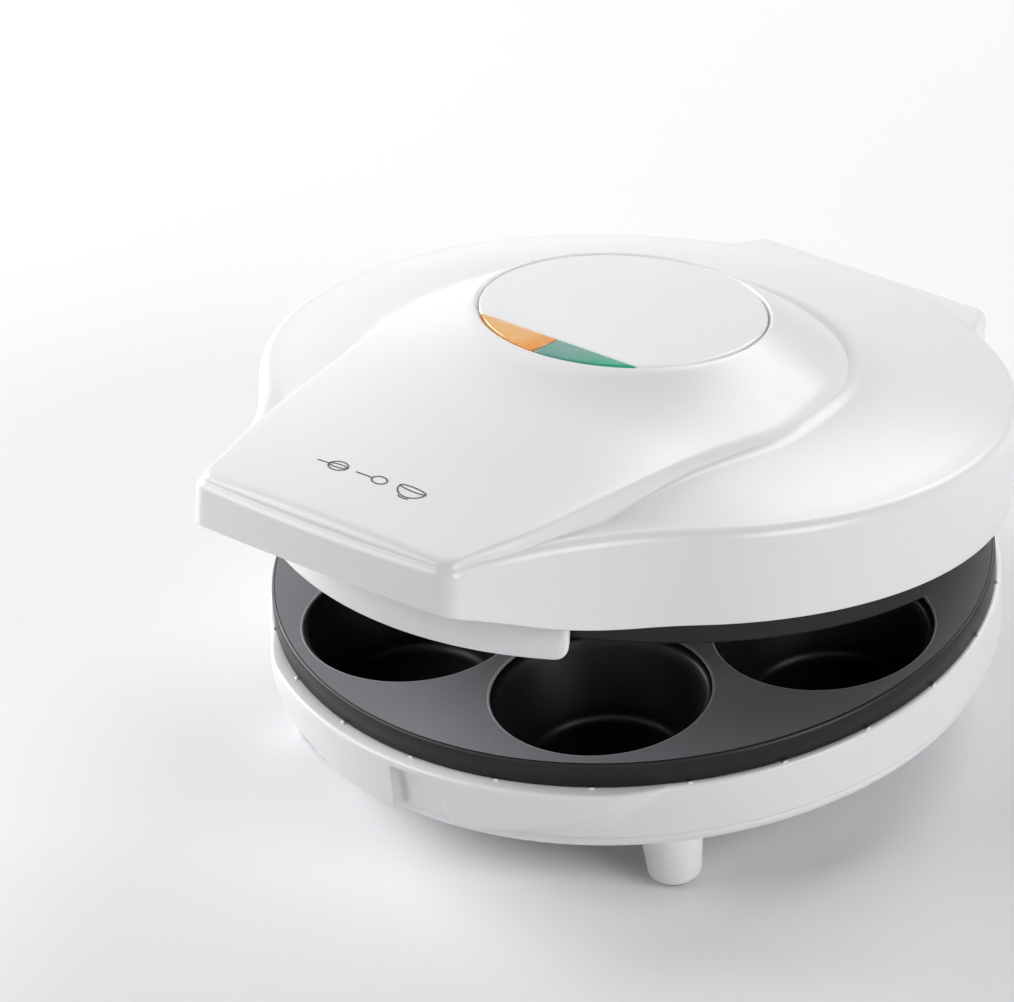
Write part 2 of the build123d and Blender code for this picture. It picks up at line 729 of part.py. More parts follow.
def lid_form(inset):
    """Whole outer form of the lid, drawn in by an inset."""
    top = ridge_height - inset
    start = skirt_start if inset == 0 else skirt_start - overrun
    body = Pos(0, 0, start) * extrude(lid_outline(inset), top - start)
    body = fillet(body.edges().group_by(Axis.Z)[-1], ridge_round - inset)
    rear = Pos(0, 0, rear_underside + inset) * extrude(
        rear_outline(inset), rear_top - rear_underside - 2 * inset)
    rear = fillet(rear.edges().group_by(Axis.Z)[-1].sort_by(Axis.Y)[1:], rear_round - inset)
    sunk = top - ridge_round + inset
    shoulder = turned(
        (0, sunk), (lid_radius - ridge_round, sunk), (lid_radius - ridge_round, top),
        (brow_radius, brow_height - inset), (0, brow_height - inset))
    dome_side = dome_radius - inset
    dome = Pos(0, -dome_setforward, 0) * turned(
        (0, sunk), (dome_side, sunk), (dome_side, dome_edge_height - handle_edge_round - inset),
        (dome_side - handle_edge_round, dome_edge_height - inset),
        (badge_step, badge_height - inset), (0, badge_height - inset))
    crown = raised_top(inset) & extrude(lid_outline(inset + handle_step), badge_height)
    form = body + [rear, shoulder, dome, crown]
    if inset == 0:
        form -= under_slope(0, -overrun)
    return form


def under_slope(rise, low):
    """Everything below the rising underside of the handle, lifted by a rise."""
    past = handle_front + handle_bow + handle_corner
    top = skirt_start + rise
    climb = (past - slope_start) * sin(slope) / cos(slope)
    lift = rise / cos(slope) - rise
    return side_prism((
        (0, top), (slope_start - lift, top), (past, top + lift + climb), (past, low), (0, low)),
        lid_radius)


def slope_place(x, forward):
    """Frame on the handle's rising underside, with its +Z square to it."""
    height = skirt_start + (forward - slope_start) * sin(slope) / cos(slope)
    return Pos(x, -forward, height) * Rot(-degrees(slope), 0, 0)


def hinge_arm():
    """One arm that carries the lid on its hinge pin."""
    strap_top = rear_underside + arm_rise
    outline = Plane.YZ * make_hull([
        (Pos(hinge_reach, -hinge_drop) * Circle(arm_radius)).edge(),
        Line((rear_reach - lid_wall / 2, rear_underside), (rear_reach - lid_wall / 2 - arm_strap, rear_underside))])
    strap = Pos(0, rear_reach - (lid_wall + arm_strap) / 2, 0) * block(
        arm_width, arm_strap, rear_underside - overrun, strap_top)
    arm = Pos(arm_inner_x, 0, 0) * extrude(outline, arm_width)
    return arm + Pos(arm_inner_x + arm_width / 2, 0, 0) * strap


def badge_segment(inset):
    """Part of the badge's disc in front of the chord, drawn in by an inset."""
    disc = Circle(badge_radius - inset)
    keep = Pos(0, -chord - inset - badge_radius / 2) * Rectangle(2 * badge_radius, badge_radius)
    return disc & keep


def lid_housing():
    """Top shell of the lid with its bezel, posts, badge seat and hinge arms."""
    outer = lid_form(0)
    cavity = lid_form(lid_wall)
    ledge_top = skirt_start + ledge_thickness
    bezel = lid_radius - lid_wall + fit_gap
    solid_parts = [column(bezel, 0, ledge_top) - column(ledge_inner, -overrun, ledge_top + overrun)]
    corner = lid_radius - under_half_width
    for side in (-1, 1):
        tip = Pos(side * (under_half_width + corner / 2), -lid_radius / 2, 0) * block(
            corner, lid_radius, 0, skirt_start + lid_wall)
        solid_parts.append(tip - column(ledge_inner, -overrun, ledge_top))
        solid_parts.append(slope_place(side * handle_screw_x, handle_screw_reach) * column(
            handle_post_radius, under_wall, badge_height))
        solid_parts.append(Pos(side * frame_screw_x, -frame_screw_reach, 0) * column(
            frame_post_radius, frame_height + sheet, badge_height))
    seat = Pos(0, -dome_setforward, 0) * column(
        badge_step, badge_height - badge_thickness - 2 * lid_wall, badge_height)
    solid_parts.append(seat - Pos(0, -dome_setforward, 0) * column(
        badge_step + lid_wall, 0, badge_height - badge_thickness - lid_wall))
    shape = outer - (cavity - solid_parts)
    arm = hinge_arm()
    shape += [arm, mirror(arm, about=Plane.YZ)]
    cuts = [Pos(0, -dome_setforward, 0) * column(badge_radius + fit_gap, seat_top, badge_height + overrun)]
    cuts.append(Pos(0, -dome_setforward, seat_top + overrun) * extrude(
        badge_segment(window_inset), -lid_wall - 2 * overrun))
    cuts.append(Pos(0, hinge_reach, -hinge_drop) * Rot(0, 90, 0) * Cylinder(pin_hole, lid_radius))
    for side in (-1, 1):
        cuts.append(slope_place(side * handle_screw_x, handle_screw_reach) * column(
            small_shank + touch_gap, 0, small_length + touch_gap))
        cuts.append(Pos(side * frame_screw_x, -frame_screw_reach, 0) * column(
            small_shank + touch_gap, frame_height, frame_height + small_length + touch_gap))
    return shape - cuts


def handle_lower_cover():
    """Plate that closes the handle from below, with the apron hanging from it."""
    plan = lid_outline(lid_wall + fit_gap) & Pos(0, -handle_front) * Rectangle(
        2 * under_half_width - 2 * fit_gap, 2 * handle_front)
    plate = extrude(plan, badge_height) & (under_slope(under_wall, -overrun) - under_slope(0, -2 * overrun))
    plate -= column(lid_radius - lid_wall + 2 * fit_gap, 0, badge_height)
    inner = apron_radius - apron_wall
    sector = make_face([
        ThreePointArc(around(-apron_angle, inner), around(0, inner), around(apron_angle, inner)),
        Line(around(apron_angle, inner), around(apron_angle, apron_radius)),
        ThreePointArc(around(apron_angle, apron_radius), around(0, apron_radius), around(-apron_angle, apron_radius)),
        Line(around(-apron_angle, apron_radius), around(-apron_angle, inner))])
    apron = Pos(0, 0, -apron_drop) * extrude(sector, apron_drop + badge_height)
    ends = apron.edges().filter_by(GeomType.LINE).group_by(Axis.Z)[0]
    apron = fillet(ends, apron_corner) & under_slope(under_wall / 2, -seam_height)
    shape = plate + apron
    for side in (-1, 1):
        place = slope_place(side * handle_screw_x, handle_screw_reach)
        shape -= place * column(small_shank + touch_gap, -overrun, under_wall + overrun)
    return shape


def handle_cover_screws():
    """Screws that hold the lower cover to the handle's posts."""
    return Compound(children=[
        slope_place(side * handle_screw_x, handle_screw_reach) * small_screw() for side in (-1, 1)])


def upper_reflector():
    """Pressed steel frame that carries the upper plate and shields the lid."""
    low, high = frame_height, frame_height + dish_rise
    inner = upper_dish_radius - dish_rise
    dish = turned(
        (0, high), (inner, high), (upper_dish_radius, low), (upper_reflector_radius, low),
        (upper_reflector_radius, low + sheet), (upper_dish_radius + sheet / 2, low + sheet),
        (inner + sheet / 2, high + sheet), (0, high + sheet))
    front_length = front_tongue_reach - upper_dish_radius - 2 * sheet
    rear_length = rear_tongue_reach - upper_dish_radius - 2 * sheet
    front = Pos(0, -front_tongue_reach + front_length / 2, 0) * block(
        2 * front_tongue_half, front_length, low, low + sheet)
    rear = Pos(0, rear_tongue_reach - rear_length / 2, 0) * block(2 * rear_tongue_half, rear_length, low, low + sheet)
    front = fillet(front.edges().filter_by(Axis.Z).sort_by(Axis.Y)[:2], frame_post_radius)
    shape = dish + [front, rear]
    cuts = [stand(angle, plate_boss_reach) * column(plate_shank + touch_gap, low - overrun, low + overrun)
            for angle in plate_boss_angles]
    for side in (-1, 1):
        cuts.append(Pos(side * frame_screw_x, -frame_screw_reach, 0) * column(
            small_shank + touch_gap, low - overrun, low + overrun))
    return shape - cuts


def upper_plate_screws():
    """Screws from above through the steel frame into the upper plate."""
    return Compound(children=[
        stand(angle, plate_boss_reach) * Pos(0, 0, frame_height + sheet) * Rot(180, 0, 0) * plate_screw()
        for angle in plate_boss_angles])


def frame_screws():
    """Screws that hold the steel frame to the posts behind the handle."""
    return Compound(children=[
        Pos(side * frame_screw_x, -frame_screw_reach, frame_height) * small_screw() for side in (-1, 1)])


def badge_disc():
    """Disc on top of the lid, with the two lenses' segment left out."""
    front = Pos(0, -chord - badge_radius) * Rectangle(2 * badge_radius, 2 * badge_radius)
    plan = Circle(badge_radius) - front
    return Pos(0, -dome_setforward, seat_top) * extrude(plan, badge_thickness)


def lens(side):
    """One translucent half of the segment, on the side given by its sign."""
    half = Pos(side * badge_radius, 0) * Rectangle(2 * badge_radius - 2 * lens_gap, 2 * badge_radius)
    return Pos(0, -dome_setforward, seat_top) * extrude(badge_segment(lens_gap) & half, badge_thickness)


def lamp_place():
    """Frame at the middle of the lamp box's top, under the badge seat."""
    middle = dome_setforward + chord + (badge_radius - chord) / 2
    return Pos(0, -middle, seat_top - lid_wall - touch_gap)


def lamp_holder():
    """Open-topped box under the windows of the lenses."""
    box = block(lamp_box_length, lamp_box_width, -lamp_box_height, 0)
    room = block(
        lamp_box_length - 2 * lamp_box_wall, lamp_box_width - 2 * lamp_box_wall,
        -lamp_box_height + lamp_box_wall, overrun)
    return lamp_place() * (box - room)


def neon_lamps():
    """Power lamp and ready lamp, side by side in the box."""
    level = -lamp_box_height + lamp_box_wall + lamp_radius + touch_gap
    lamp = Rot(0, 90, 0) * Cylinder(lamp_radius, lamp_length)
    return Compound(children=[
        lamp_place() * Pos(side * lamp_spacing / 2, 0, level) * lamp for side in (-1, 1)])


def lid_terminal_block():
    """Terminals that stand on the steel frame."""
    return Pos(0, lid_block_back, 0) * Pos(0, 0, frame_height + sheet + touch_gap) * terminal_block()


base_pieces = {
    "base_housing": base_housing(),
    "base_bottom_cover": base_bottom_cover(),
    "foot_pads": foot_pads(),
    "lower_baking_plate": lower_baking_plate(),
    "lower_heating_element": heating_element(lower_tube_depth),
    "lower_element_terminals": element_terminals(lower_tube_depth),
    "lower_element_clamps": element_clamps(lower_tube_depth),
    "lower_clamp_screws": clamp_screws(lower_tube_depth),
    "lower_plate_screws": lower_plate_screws(),
    "lower_reflector": lower_reflector(),
    "lower_thermostat": thermostat(),
    "thermal_fuse": thermal_fuse(),
    "base_terminal_block": stand(shelf_angle, block_reach) * Pos(0, 0, touch_gap - shelf_depth) * terminal_block(),
    "cord_gland": cord_gland(),
    "cover_screws": cover_screws(),
    "hinge_pins": hinge_pins(),
}
lid_pieces = {
    "lid_housing": lid_housing(),
    "handle_lower_cover": handle_lower_cover(),
    "handle_cover_screws": handle_cover_screws(),
    "upper_baking_plate": upper_baking_plate(),
    "upper_heating_element": overhead(heating_element(upper_tube_depth)),
    "upper_element_terminals": overhead(element_terminals(upper_tube_depth)),
    "upper_element_clamps": overhead(element_clamps(upper_tube_depth)),
    "upper_clamp_screws": overhead(clamp_screws(upper_tube_depth)),
    "upper_plate_screws": upper_plate_screws(),
    "upper_reflector": upper_reflector(),
    "frame_screws": frame_screws(),
    "upper_thermostat": overhead(thermostat()),
    "lid_terminal_block": lid_terminal_block(),
    "badge_disc": badge_disc(),
    "amber_lens": lens(-1),
    "green_lens": lens(1),
    "lamp_holder": lamp_holder(),
    "neon_lamps": neon_lamps(),
}

# The lid stands open about its hinge, and the whole stands on its pads
axle = Pos(0, hinge_reach, -hinge_drop)
opened = axle * Rot(-rest_opening, 0, 0) * axle.inverse()
pieces = dict(base_pieces)
for name, piece in lid_pieces.items():
    pieces[name] = opened * piece

# The origin is on the table under the middle of the stored machine
boxes = [piece.bounding_box() for piece in pieces.values()]
setback = -(min(box.min.Y for box in boxes) + max(box.max.Y for box in boxes)) / 2
place = Pos(0, setback, seam_height)
print("setback", round(setback, 3), "hinge at", round(hinge_reach + setback, 3), seam_height - hinge_drop)

os.makedirs("parts", exist_ok=True)
for name, piece in pieces.items():
    export_step(place * piece, f"parts/{name}.step")
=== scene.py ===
"""Looks of a seven-cup countertop cupcake maker whose lid stands ajar (Blender 4.5).

Sizes are in millimetres and angles in degrees, measured from the plates' middle, the
seam and the front.
"""

from __future__ import annotations

import json
import logging
import math
from collections.abc import Callable
from dataclasses import dataclass
from dataclasses import field
from enum import Enum

import bmesh
import bpy
import numpy as np
from mathutils import Matrix
from mathutils import Vector

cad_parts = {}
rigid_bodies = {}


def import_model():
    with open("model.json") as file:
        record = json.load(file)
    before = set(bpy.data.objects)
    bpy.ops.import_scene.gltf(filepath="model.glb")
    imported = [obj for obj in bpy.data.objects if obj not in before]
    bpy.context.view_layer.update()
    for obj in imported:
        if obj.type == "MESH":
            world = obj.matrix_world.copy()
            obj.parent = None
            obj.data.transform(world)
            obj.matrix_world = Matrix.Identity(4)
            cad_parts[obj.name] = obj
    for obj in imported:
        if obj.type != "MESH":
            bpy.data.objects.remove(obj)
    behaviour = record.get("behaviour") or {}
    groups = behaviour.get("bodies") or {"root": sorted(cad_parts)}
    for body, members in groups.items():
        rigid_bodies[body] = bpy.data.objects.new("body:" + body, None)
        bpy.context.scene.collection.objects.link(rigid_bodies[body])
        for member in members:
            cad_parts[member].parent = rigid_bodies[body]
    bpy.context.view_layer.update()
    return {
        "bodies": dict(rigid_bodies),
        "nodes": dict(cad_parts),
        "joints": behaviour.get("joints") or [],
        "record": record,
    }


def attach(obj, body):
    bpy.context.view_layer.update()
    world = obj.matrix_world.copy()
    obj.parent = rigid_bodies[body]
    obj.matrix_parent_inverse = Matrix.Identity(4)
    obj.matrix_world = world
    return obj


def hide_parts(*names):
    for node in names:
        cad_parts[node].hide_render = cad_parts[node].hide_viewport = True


log = logging.getLogger("cupcake_maker")

MM = 0.001
# Points closer than this, in metres, are one.
MERGE_DISTANCE = 1e-6
# Points round a hinge eye, and rows over the rounded rim of its plate.
EYE_COUNT = 72
RIM_ROWS = 5
# Sockets of the colour mix: its factor, both colours and the outcome.
MIX_FACTOR = 0
MIX_FIRST = 6
MIX_SECOND = 7
MIX_COLOUR = 2


class Body(Enum):
    """The two bodies that the hinge joins."""

    BASE = "base"
    LID = "lid"


def linear(colour: str) -> tuple[float, float, float, float]:
    """Turns an sRGB hex colour to the linear colour that a shader takes.

    Args:
        colour: six hex digits after a hash.

    Returns:
        Linear red, green, blue and an alpha of one.
    """
    channels = [int(colour[start:start + 2], 16) / 255 for start in (1, 3, 5)]
    toe, toe_slope, offset, gamma = 0.04045, 12.92, 0.055, 2.4
    values = [c / toe_slope if c <= toe else ((c + offset) / (1 + offset)) ** gamma for c in channels]
    return (values[0], values[1], values[2], 1.0)


def per_size(millimetres: float) -> float:
    """Gives the texture scale, in features per metre, of a feature that wide."""
    return 1 / (millimetres * MM)


def add_node(tree: bpy.types.NodeTree, kind: str, inputs: dict | None = None,
             **settings: object) -> bpy.types.Node:
    """Adds one node with its settings and its links.

    Args:
        tree: the tree that gets the node.
        kind: the node's type.
        inputs: socket name or index, and the value or output that fills it.
        settings: the node's own properties.

    Returns:
        The new node.
    """
    node = tree.nodes.new(kind)
    for name, value in settings.items():
        setattr(node, name, value)
    for key, value in (inputs or {}).items():
        if isinstance(value, bpy.types.NodeSocket):
            tree.links.new(value, node.inputs[key])
        else:
            node.inputs[key].default_value = value
    return node


def new_material(name: str) -> tuple[bpy.types.Material, bpy.types.NodeTree]:
    """Starts a material with an empty node tree.

    Args:
        name: the finish's name.

    Returns:
        The material and its tree.
    """
    material = bpy.data.materials.new(name)
    material.use_nodes = True
    material.node_tree.nodes.clear()
    return material, material.node_tree


@dataclass(frozen=True)
class Finish:
    """What every finish has: a name, a colour, and a surface that its own pattern feeds."""

    name: str
    colour: str

    def pattern(self, tree: bpy.types.NodeTree, place: bpy.types.NodeSocket) -> dict:
        """Draws the finish's pattern.

        Args:
            tree: the material's tree.
            place: the place on the piece.

        Returns:
            What each input of the surface gets.
        """
        raise NotImplementedError

    def make(self) -> bpy.types.Material:
        """Builds the material.

        Returns:
            The material.
        """
        material, tree = new_material(self.name)
        place = add_node(tree, "ShaderNodeTexCoord").outputs["Object"]
        surface = add_node(tree, "ShaderNodeBsdfPrincipled", self.pattern(tree, place))
        add_node(tree, "ShaderNodeOutputMaterial", {"Surface": surface.outputs["BSDF"]})
        return material


@dataclass(frozen=True)
class MouldedPlastic(Finish):
    """Injection-moulded ABS, nylon or rubber: even colour, soft gloss and a fine tool grain.

    The flow of the melt leaves a change of tone too weak to name, and handling leaves
    patches that are a little duller, so a long highlight never looks drawn with a ruler.
    """

    shaded: str
    roughness: float = 0.3
    dulled: float = 0.4
    ior: float = 1.53
    # The real grain is about 0.1 mm, too fine for the picture, so it is drawn coarser.
    grain: float = 0.7
    grain_depth: float = 0.0012
    flow: float = 70.0
    flow_span: tuple[float, float] = (0.3, 0.7)
    smudge: float = 45.0
    smudge_span: tuple[float, float] = (0.35, 0.7)

    def pattern(self, tree: bpy.types.NodeTree, place: bpy.types.NodeSocket) -> dict:
        """Draws the flow of the melt, the dull patches and the grain of the tool.

        Args:
            tree: the material's tree.
            place: the place on the piece.

        Returns:
            What each input of the surface gets.
        """
        flow = add_node(tree, "ShaderNodeTexNoise", {
            "Vector": place, "Scale": per_size(self.flow), "Detail": 2.0, "Roughness": 0.5})
        tone = add_node(tree, "ShaderNodeValToRGB", {"Fac": flow.outputs["Fac"]})
        stops = zip(tone.color_ramp.elements, self.flow_span, (self.shaded, self.colour))
        for stop, position, colour in stops:
            stop.position = position
            stop.color = linear(colour)
        smudge = add_node(tree, "ShaderNodeTexNoise", {
            "Vector": place, "Scale": per_size(self.smudge), "Detail": 4.0, "Roughness": 0.6})
        gloss = add_node(tree, "ShaderNodeMapRange", {
            "Value": smudge.outputs["Fac"], "From Min": self.smudge_span[0], "From Max": self.smudge_span[1],
            "To Min": self.roughness, "To Max": self.dulled})
        grain = add_node(tree, "ShaderNodeTexNoise", {
            "Vector": place, "Scale": per_size(self.grain), "Detail": 2.0})
        bump = add_node(tree, "ShaderNodeBump", {
            "Height": grain.outputs["Fac"], "Distance": self.grain_depth * MM, "Strength": 1.0})
        return {"Base Color": tone.outputs["Color"], "Roughness": gloss.outputs["Result"],
                "IOR": self.ior, "Normal": bump.outputs["Normal"]}


@dataclass(frozen=True)
class NonStickCoating(Finish):
    """PTFE baked on cast aluminium: near black and satin, with a fine pale fleck in it.

    The sprayed coat dries with an orange peel, which breaks the window of light on
    the deck into a soft sheen, and the fleck keeps the black from looking like ink.
    """

    fleck: str
    roughness: float = 0.36
    dulled: float = 0.46
    ior: float = 1.38
    # The real flecks are about 0.2 mm, too fine for the picture, so they are drawn coarser.
    fleck_size: float = 0.9
    fleck_span: tuple[float, float] = (0.05, 0.2)
    wipe: float = 18.0
    wipe_span: tuple[float, float] = (0.3, 0.7)
    peel: float = 1.6
    peel_depth: float = 0.012

    def pattern(self, tree: bpy.types.NodeTree, place: bpy.types.NodeSocket) -> dict:
        """Draws the fleck, the wiped patches and the orange peel.

        Args:
            tree: the material's tree.
            place: the place on the piece.

        Returns:
            What each input of the surface gets.
        """
        cells = add_node(tree, "ShaderNodeTexVoronoi", {
            "Vector": place, "Scale": per_size(self.fleck_size)})
        shine = add_node(tree, "ShaderNodeMapRange", {
            "Value": cells.outputs["Distance"], "From Min": self.fleck_span[0],
            "From Max": self.fleck_span[1], "To Min": 1.0, "To Max": 0.0})
        body = add_node(tree, "ShaderNodeMix", {
            MIX_FACTOR: shine.outputs["Result"], MIX_FIRST: linear(self.colour),
            MIX_SECOND: linear(self.fleck)}, data_type="RGBA")
        wipe = add_node(tree, "ShaderNodeTexNoise", {
            "Vector": place, "Scale": per_size(self.wipe), "Detail": 3.0})
        gloss = add_node(tree, "ShaderNodeMapRange", {
            "Value": wipe.outputs["Fac"], "From Min": self.wipe_span[0], "From Max": self.wipe_span[1],
            "To Min": self.roughness, "To Max": self.dulled})
        peel = add_node(tree, "ShaderNodeTexNoise", {
            "Vector": place, "Scale": per_size(self.peel), "Detail": 1.0})
        bump = add_node(tree, "ShaderNodeBump", {
            "Height": peel.outputs["Fac"], "Distance": self.peel_depth * MM, "Strength": 1.0})
        return {"Base Color": body.outputs[MIX_COLOUR], "Roughness": gloss.outputs["Result"],
                "IOR": self.ior, "Normal": bump.outputs["Normal"]}


@dataclass(frozen=True)
class BareMetal(Finish):
    """Rolled, drawn or plated steel: a long grain from the rolls and a cloudy plating.

    The grain stretches each highlight across the rolling direction, and the clouds
    of the plating part one screw or sheet from the next.
    """

    cloud: str
    roughness: float = 0.32
    dulled: float = 0.45
    cloud_size: float = 8.0
    cloud_reach: float = 0.6
    # The real grain is finer than 0.1 mm, too fine for the picture, so it is drawn coarser.
    grain: float = 0.5
    grain_stretch: float = 20.0
    grain_depth: float = 0.006

    def pattern(self, tree: bpy.types.NodeTree, place: bpy.types.NodeSocket) -> dict:
        """Draws the clouds of the plating and the grain of the rolls.

        Args:
            tree: the material's tree.
            place: the place on the piece.

        Returns:
            What each input of the surface gets.
        """
        cells = add_node(tree, "ShaderNodeTexVoronoi", {
            "Vector": place, "Scale": per_size(self.cloud_size)}, feature="F1")
        spangle = add_node(tree, "ShaderNodeMix", {
            MIX_FACTOR: cells.outputs["Color"], MIX_FIRST: linear(self.colour),
            MIX_SECOND: linear(self.cloud)}, data_type="RGBA")
        gloss = add_node(tree, "ShaderNodeMapRange", {
            "Value": cells.outputs["Distance"], "From Max": self.cloud_reach,
            "To Min": self.roughness, "To Max": self.dulled})
        along = add_node(tree, "ShaderNodeMapping", {
            "Vector": place, "Scale": (1 / self.grain_stretch, 1.0, 1.0)})
        rolled = add_node(tree, "ShaderNodeTexNoise", {
            "Vector": along.outputs["Vector"], "Scale": per_size(self.grain), "Detail": 2.0})
        bump = add_node(tree, "ShaderNodeBump", {
            "Height": rolled.outputs["Fac"], "Distance": self.grain_depth * MM, "Strength": 1.0})
        return {"Base Color": spangle.outputs[MIX_COLOUR], "Roughness": gloss.outputs["Result"],
                "Metallic": 1.0, "Normal": bump.outputs["Normal"]}


@dataclass(frozen=True)
class TintedAcrylic(Finish):
    """Cast acrylic, tinted through: clear and deep in colour, drawn paler at one x of the piece and deeper at
    another.

    Small prisms under the face throw the light about; the pale and deep patches that this makes are painted
    into the colour, as on the window of a signal lamp.
    """

    deep: str
    deep_from: float = 0.0
    deep_to: float = 0.0
    roughness: float = 0.08
    ior: float = 1.49
    prism: float = 3.2
    prism_share: float = 0.35
    prism_depth: float = 0.12
    transmission: float = 0.25

    def pattern(self, tree: bpy.types.NodeTree, place: bpy.types.NodeSocket) -> dict:
        """Draws the prisms, the painted light and shade that they break the colour into, and the colour that
        deepens from one x of the piece to the other.

        Args:
            tree: the material's tree.
            place: the place on the piece.

        Returns:
            What each input of the surface gets.
        """
        cells = add_node(tree, "ShaderNodeTexVoronoi", {
            "Vector": place, "Scale": per_size(self.prism)}, feature="F1", distance="CHEBYCHEV")
        axes = add_node(tree, "ShaderNodeSeparateXYZ", {"Vector": place})
        depth = add_node(tree, "ShaderNodeMapRange", {
            "Value": axes.outputs["X"], "From Min": self.deep_from * MM,
            "From Max": self.deep_to * MM})
        broken = add_node(tree, "ShaderNodeMath", {
            0: cells.outputs["Distance"], 1: self.prism_share, 2: depth.outputs["Result"]},
            operation="MULTIPLY_ADD")
        # The prism patches mixed in here are painted light and shade.
        tint_with_painted_prism_light = add_node(tree, "ShaderNodeMix", {
            MIX_FACTOR: broken.outputs[0], MIX_FIRST: linear(self.colour),
            MIX_SECOND: linear(self.deep)}, data_type="RGBA")
        bump = add_node(tree, "ShaderNodeBump", {
            "Height": cells.outputs["Distance"], "Distance": self.prism_depth * MM, "Strength": 1.0})
        return {"Base Color": tint_with_painted_prism_light.outputs[MIX_COLOUR], "Roughness": self.roughness, "IOR": self.ior,
                "Transmission Weight": self.transmission, "Normal": bump.outputs["Normal"]}


# Soft sheen on the housings: lamps show as broad, milky bands.
SATIN_WHITE_ABS = MouldedPlastic(
    "satin_white_abs", "#ECEBED", "#E9E8EA", roughness=0.28, dulled=0.33)
# Polished tool face of the badge: it mirrors the surround and looks a little whiter.
GLOSS_WHITE_ABS = MouldedPlastic(
    "gloss_white_abs", "#EFEFF0", "#EBEBEC", roughness=0.14, dulled=0.22)
# Black coat in the cups and on the rims: the darkest thing in view.
BLACK_NON_STICK = NonStickCoating("black_non_stick", "#141315", "#232226")
# Painted light: the deck has the same black coat as the cups, drawn grey to stand in for the light and sheen
# that the flat deck catches.
LIGHT_PAINTED_DECK_COAT = NonStickCoating(
    "thin_deck_non_stick", "#86858A", "#929196", roughness=0.36, dulled=0.46, ior=1.5)
# Painted highlight: the lips have the same black coat, drawn pale to stand in for the line of light that each
# rounded lip catches.
HIGHLIGHT_PAINTED_LIP_COAT = NonStickCoating(
    "worn_lip_non_stick", "#B4B3B8", "#C2C1C6", roughness=0.3, dulled=0.4, ior=1.5)
# Pad-printed ink: flat, and a shade off black.
PRINTED_INK = MouldedPlastic(
    "grey_pad_printed_ink", "#45454A", "#3C3C41", roughness=0.55, dulled=0.65)
# Moulded rubber: dull, with a coarse grain that takes up any highlight.
PAD_RUBBER = MouldedPlastic(
    "grey_pad_rubber", "#77767A", "#6A696D", roughness=0.7, dulled=0.8, grain_depth=0.02)
# Drawn steel sheath, browned by heat.
SHEATH_STEEL = BareMetal(
    "heater_sheath_steel", "#8C8178", "#6F6A68", roughness=0.4, dulled=0.55, cloud_size=14.0)
# Nickel on brass tabs: a warm, bright metal.
PLATED_BRASS = BareMetal("nickel_plated_brass", "#D6D0C2", "#C6C0B4", roughness=0.29)
# Hot-dipped sheet: spangles of two greys.
ALUMINISED_SHEET = BareMetal(
    "aluminised_steel_sheet", "#C9CACC", "#B4B6B9", roughness=0.35, cloud_size=5.0)
# Bright zinc on screws and pins: cool, with fine clouds.
ZINC_PLATED_STEEL = BareMetal(
    "zinc_plated_steel", "#CDD0D3", "#B9BDC2", roughness=0.28, dulled=0.38, cloud_size=2.0)
# Moulded nylon: near black and matt.
BLACK_NYLON = MouldedPlastic(
    "black_nylon", "#232326", "#1C1C1F", roughness=0.42, dulled=0.55)
# Pressed and fired ceramic: cream, with a chalky face.
STEATITE = MouldedPlastic(
    "steatite_ceramic", "#E9E2D2", "#DED6C4", roughness=0.45, dulled=0.6, grain_depth=0.01)
# Warm window, deepest beside the green one.
AMBER_ACRYLIC = TintedAcrylic(
    "amber_acrylic", "#FFC978", "#FFA40C", deep_from=-9.0, deep_to=-2.0)
# Cool window, deepest at its outer tip.
GREEN_ACRYLIC = TintedAcrylic(
    "green_acrylic", "#72AA9F", "#04B890", deep_from=10.0, deep_to=24.0)
# Blown bulb: clear, with a faint smoky tint.
LAMP_GLASS = TintedAcrylic(
    "lamp_glass", "#F6F1EA", "#E6DFD6", deep_from=-9.0, deep_to=30.0, prism=9.0,
    prism_depth=0.02, transmission=0.95)

SLOT_FINISHES = {
    "white_plastic": SATIN_WHITE_ABS,
    "badge_plastic": GLOSS_WHITE_ABS,
    "nonstick_plate": BLACK_NON_STICK,
    "pad_rubber": PAD_RUBBER,
    "element_steel": SHEATH_STEEL,
    "terminal_metal": PLATED_BRASS,
    "sheet_steel": ALUMINISED_SHEET,
    "screw_steel": ZINC_PLATED_STEEL,
    "black_plastic": BLACK_NYLON,
    "block_plastic": STEATITE,
    "amber_lens": AMBER_ACRYLIC,
    "green_lens": GREEN_ACRYLIC,
    "lamp_glass": LAMP_GLASS,
}


@dataclass
class Workshop:
    """The loaded frame with one material for each finish."""

    frame: dict
    materials: dict[str, bpy.types.Material] = field(default_factory=dict)

    def finished(self, finish: Finish) -> bpy.types.Material:
        """Gives the material of a finish, made on first use.

        Args:
            finish: the finish.

        Returns:
            Its one material.
        """
        if finish.name not in self.materials:
            self.materials[finish.name] = finish.make()
        return self.materials[finish.name]

    def material(self, slot: str) -> bpy.types.Material:
        """Gives the usual material of a record slot."""
        return self.finished(SLOT_FINISHES[slot])

    def dress_frame(self) -> None:
        """Gives each CAD node that is carried over the finish of its slot."""
        for name, node in self.frame["nodes"].items():
            slots = [slot.material.name.split(".")[0] for slot in node.material_slots if slot.material]
            wanted = next((slot for slot in slots if slot in SLOT_FINISHES), None)
            log.info("carried over %s with %s (%s)", name, wanted, slots)
            if wanted:
                for place in node.material_slots:
                    place.material = self.material(wanted)


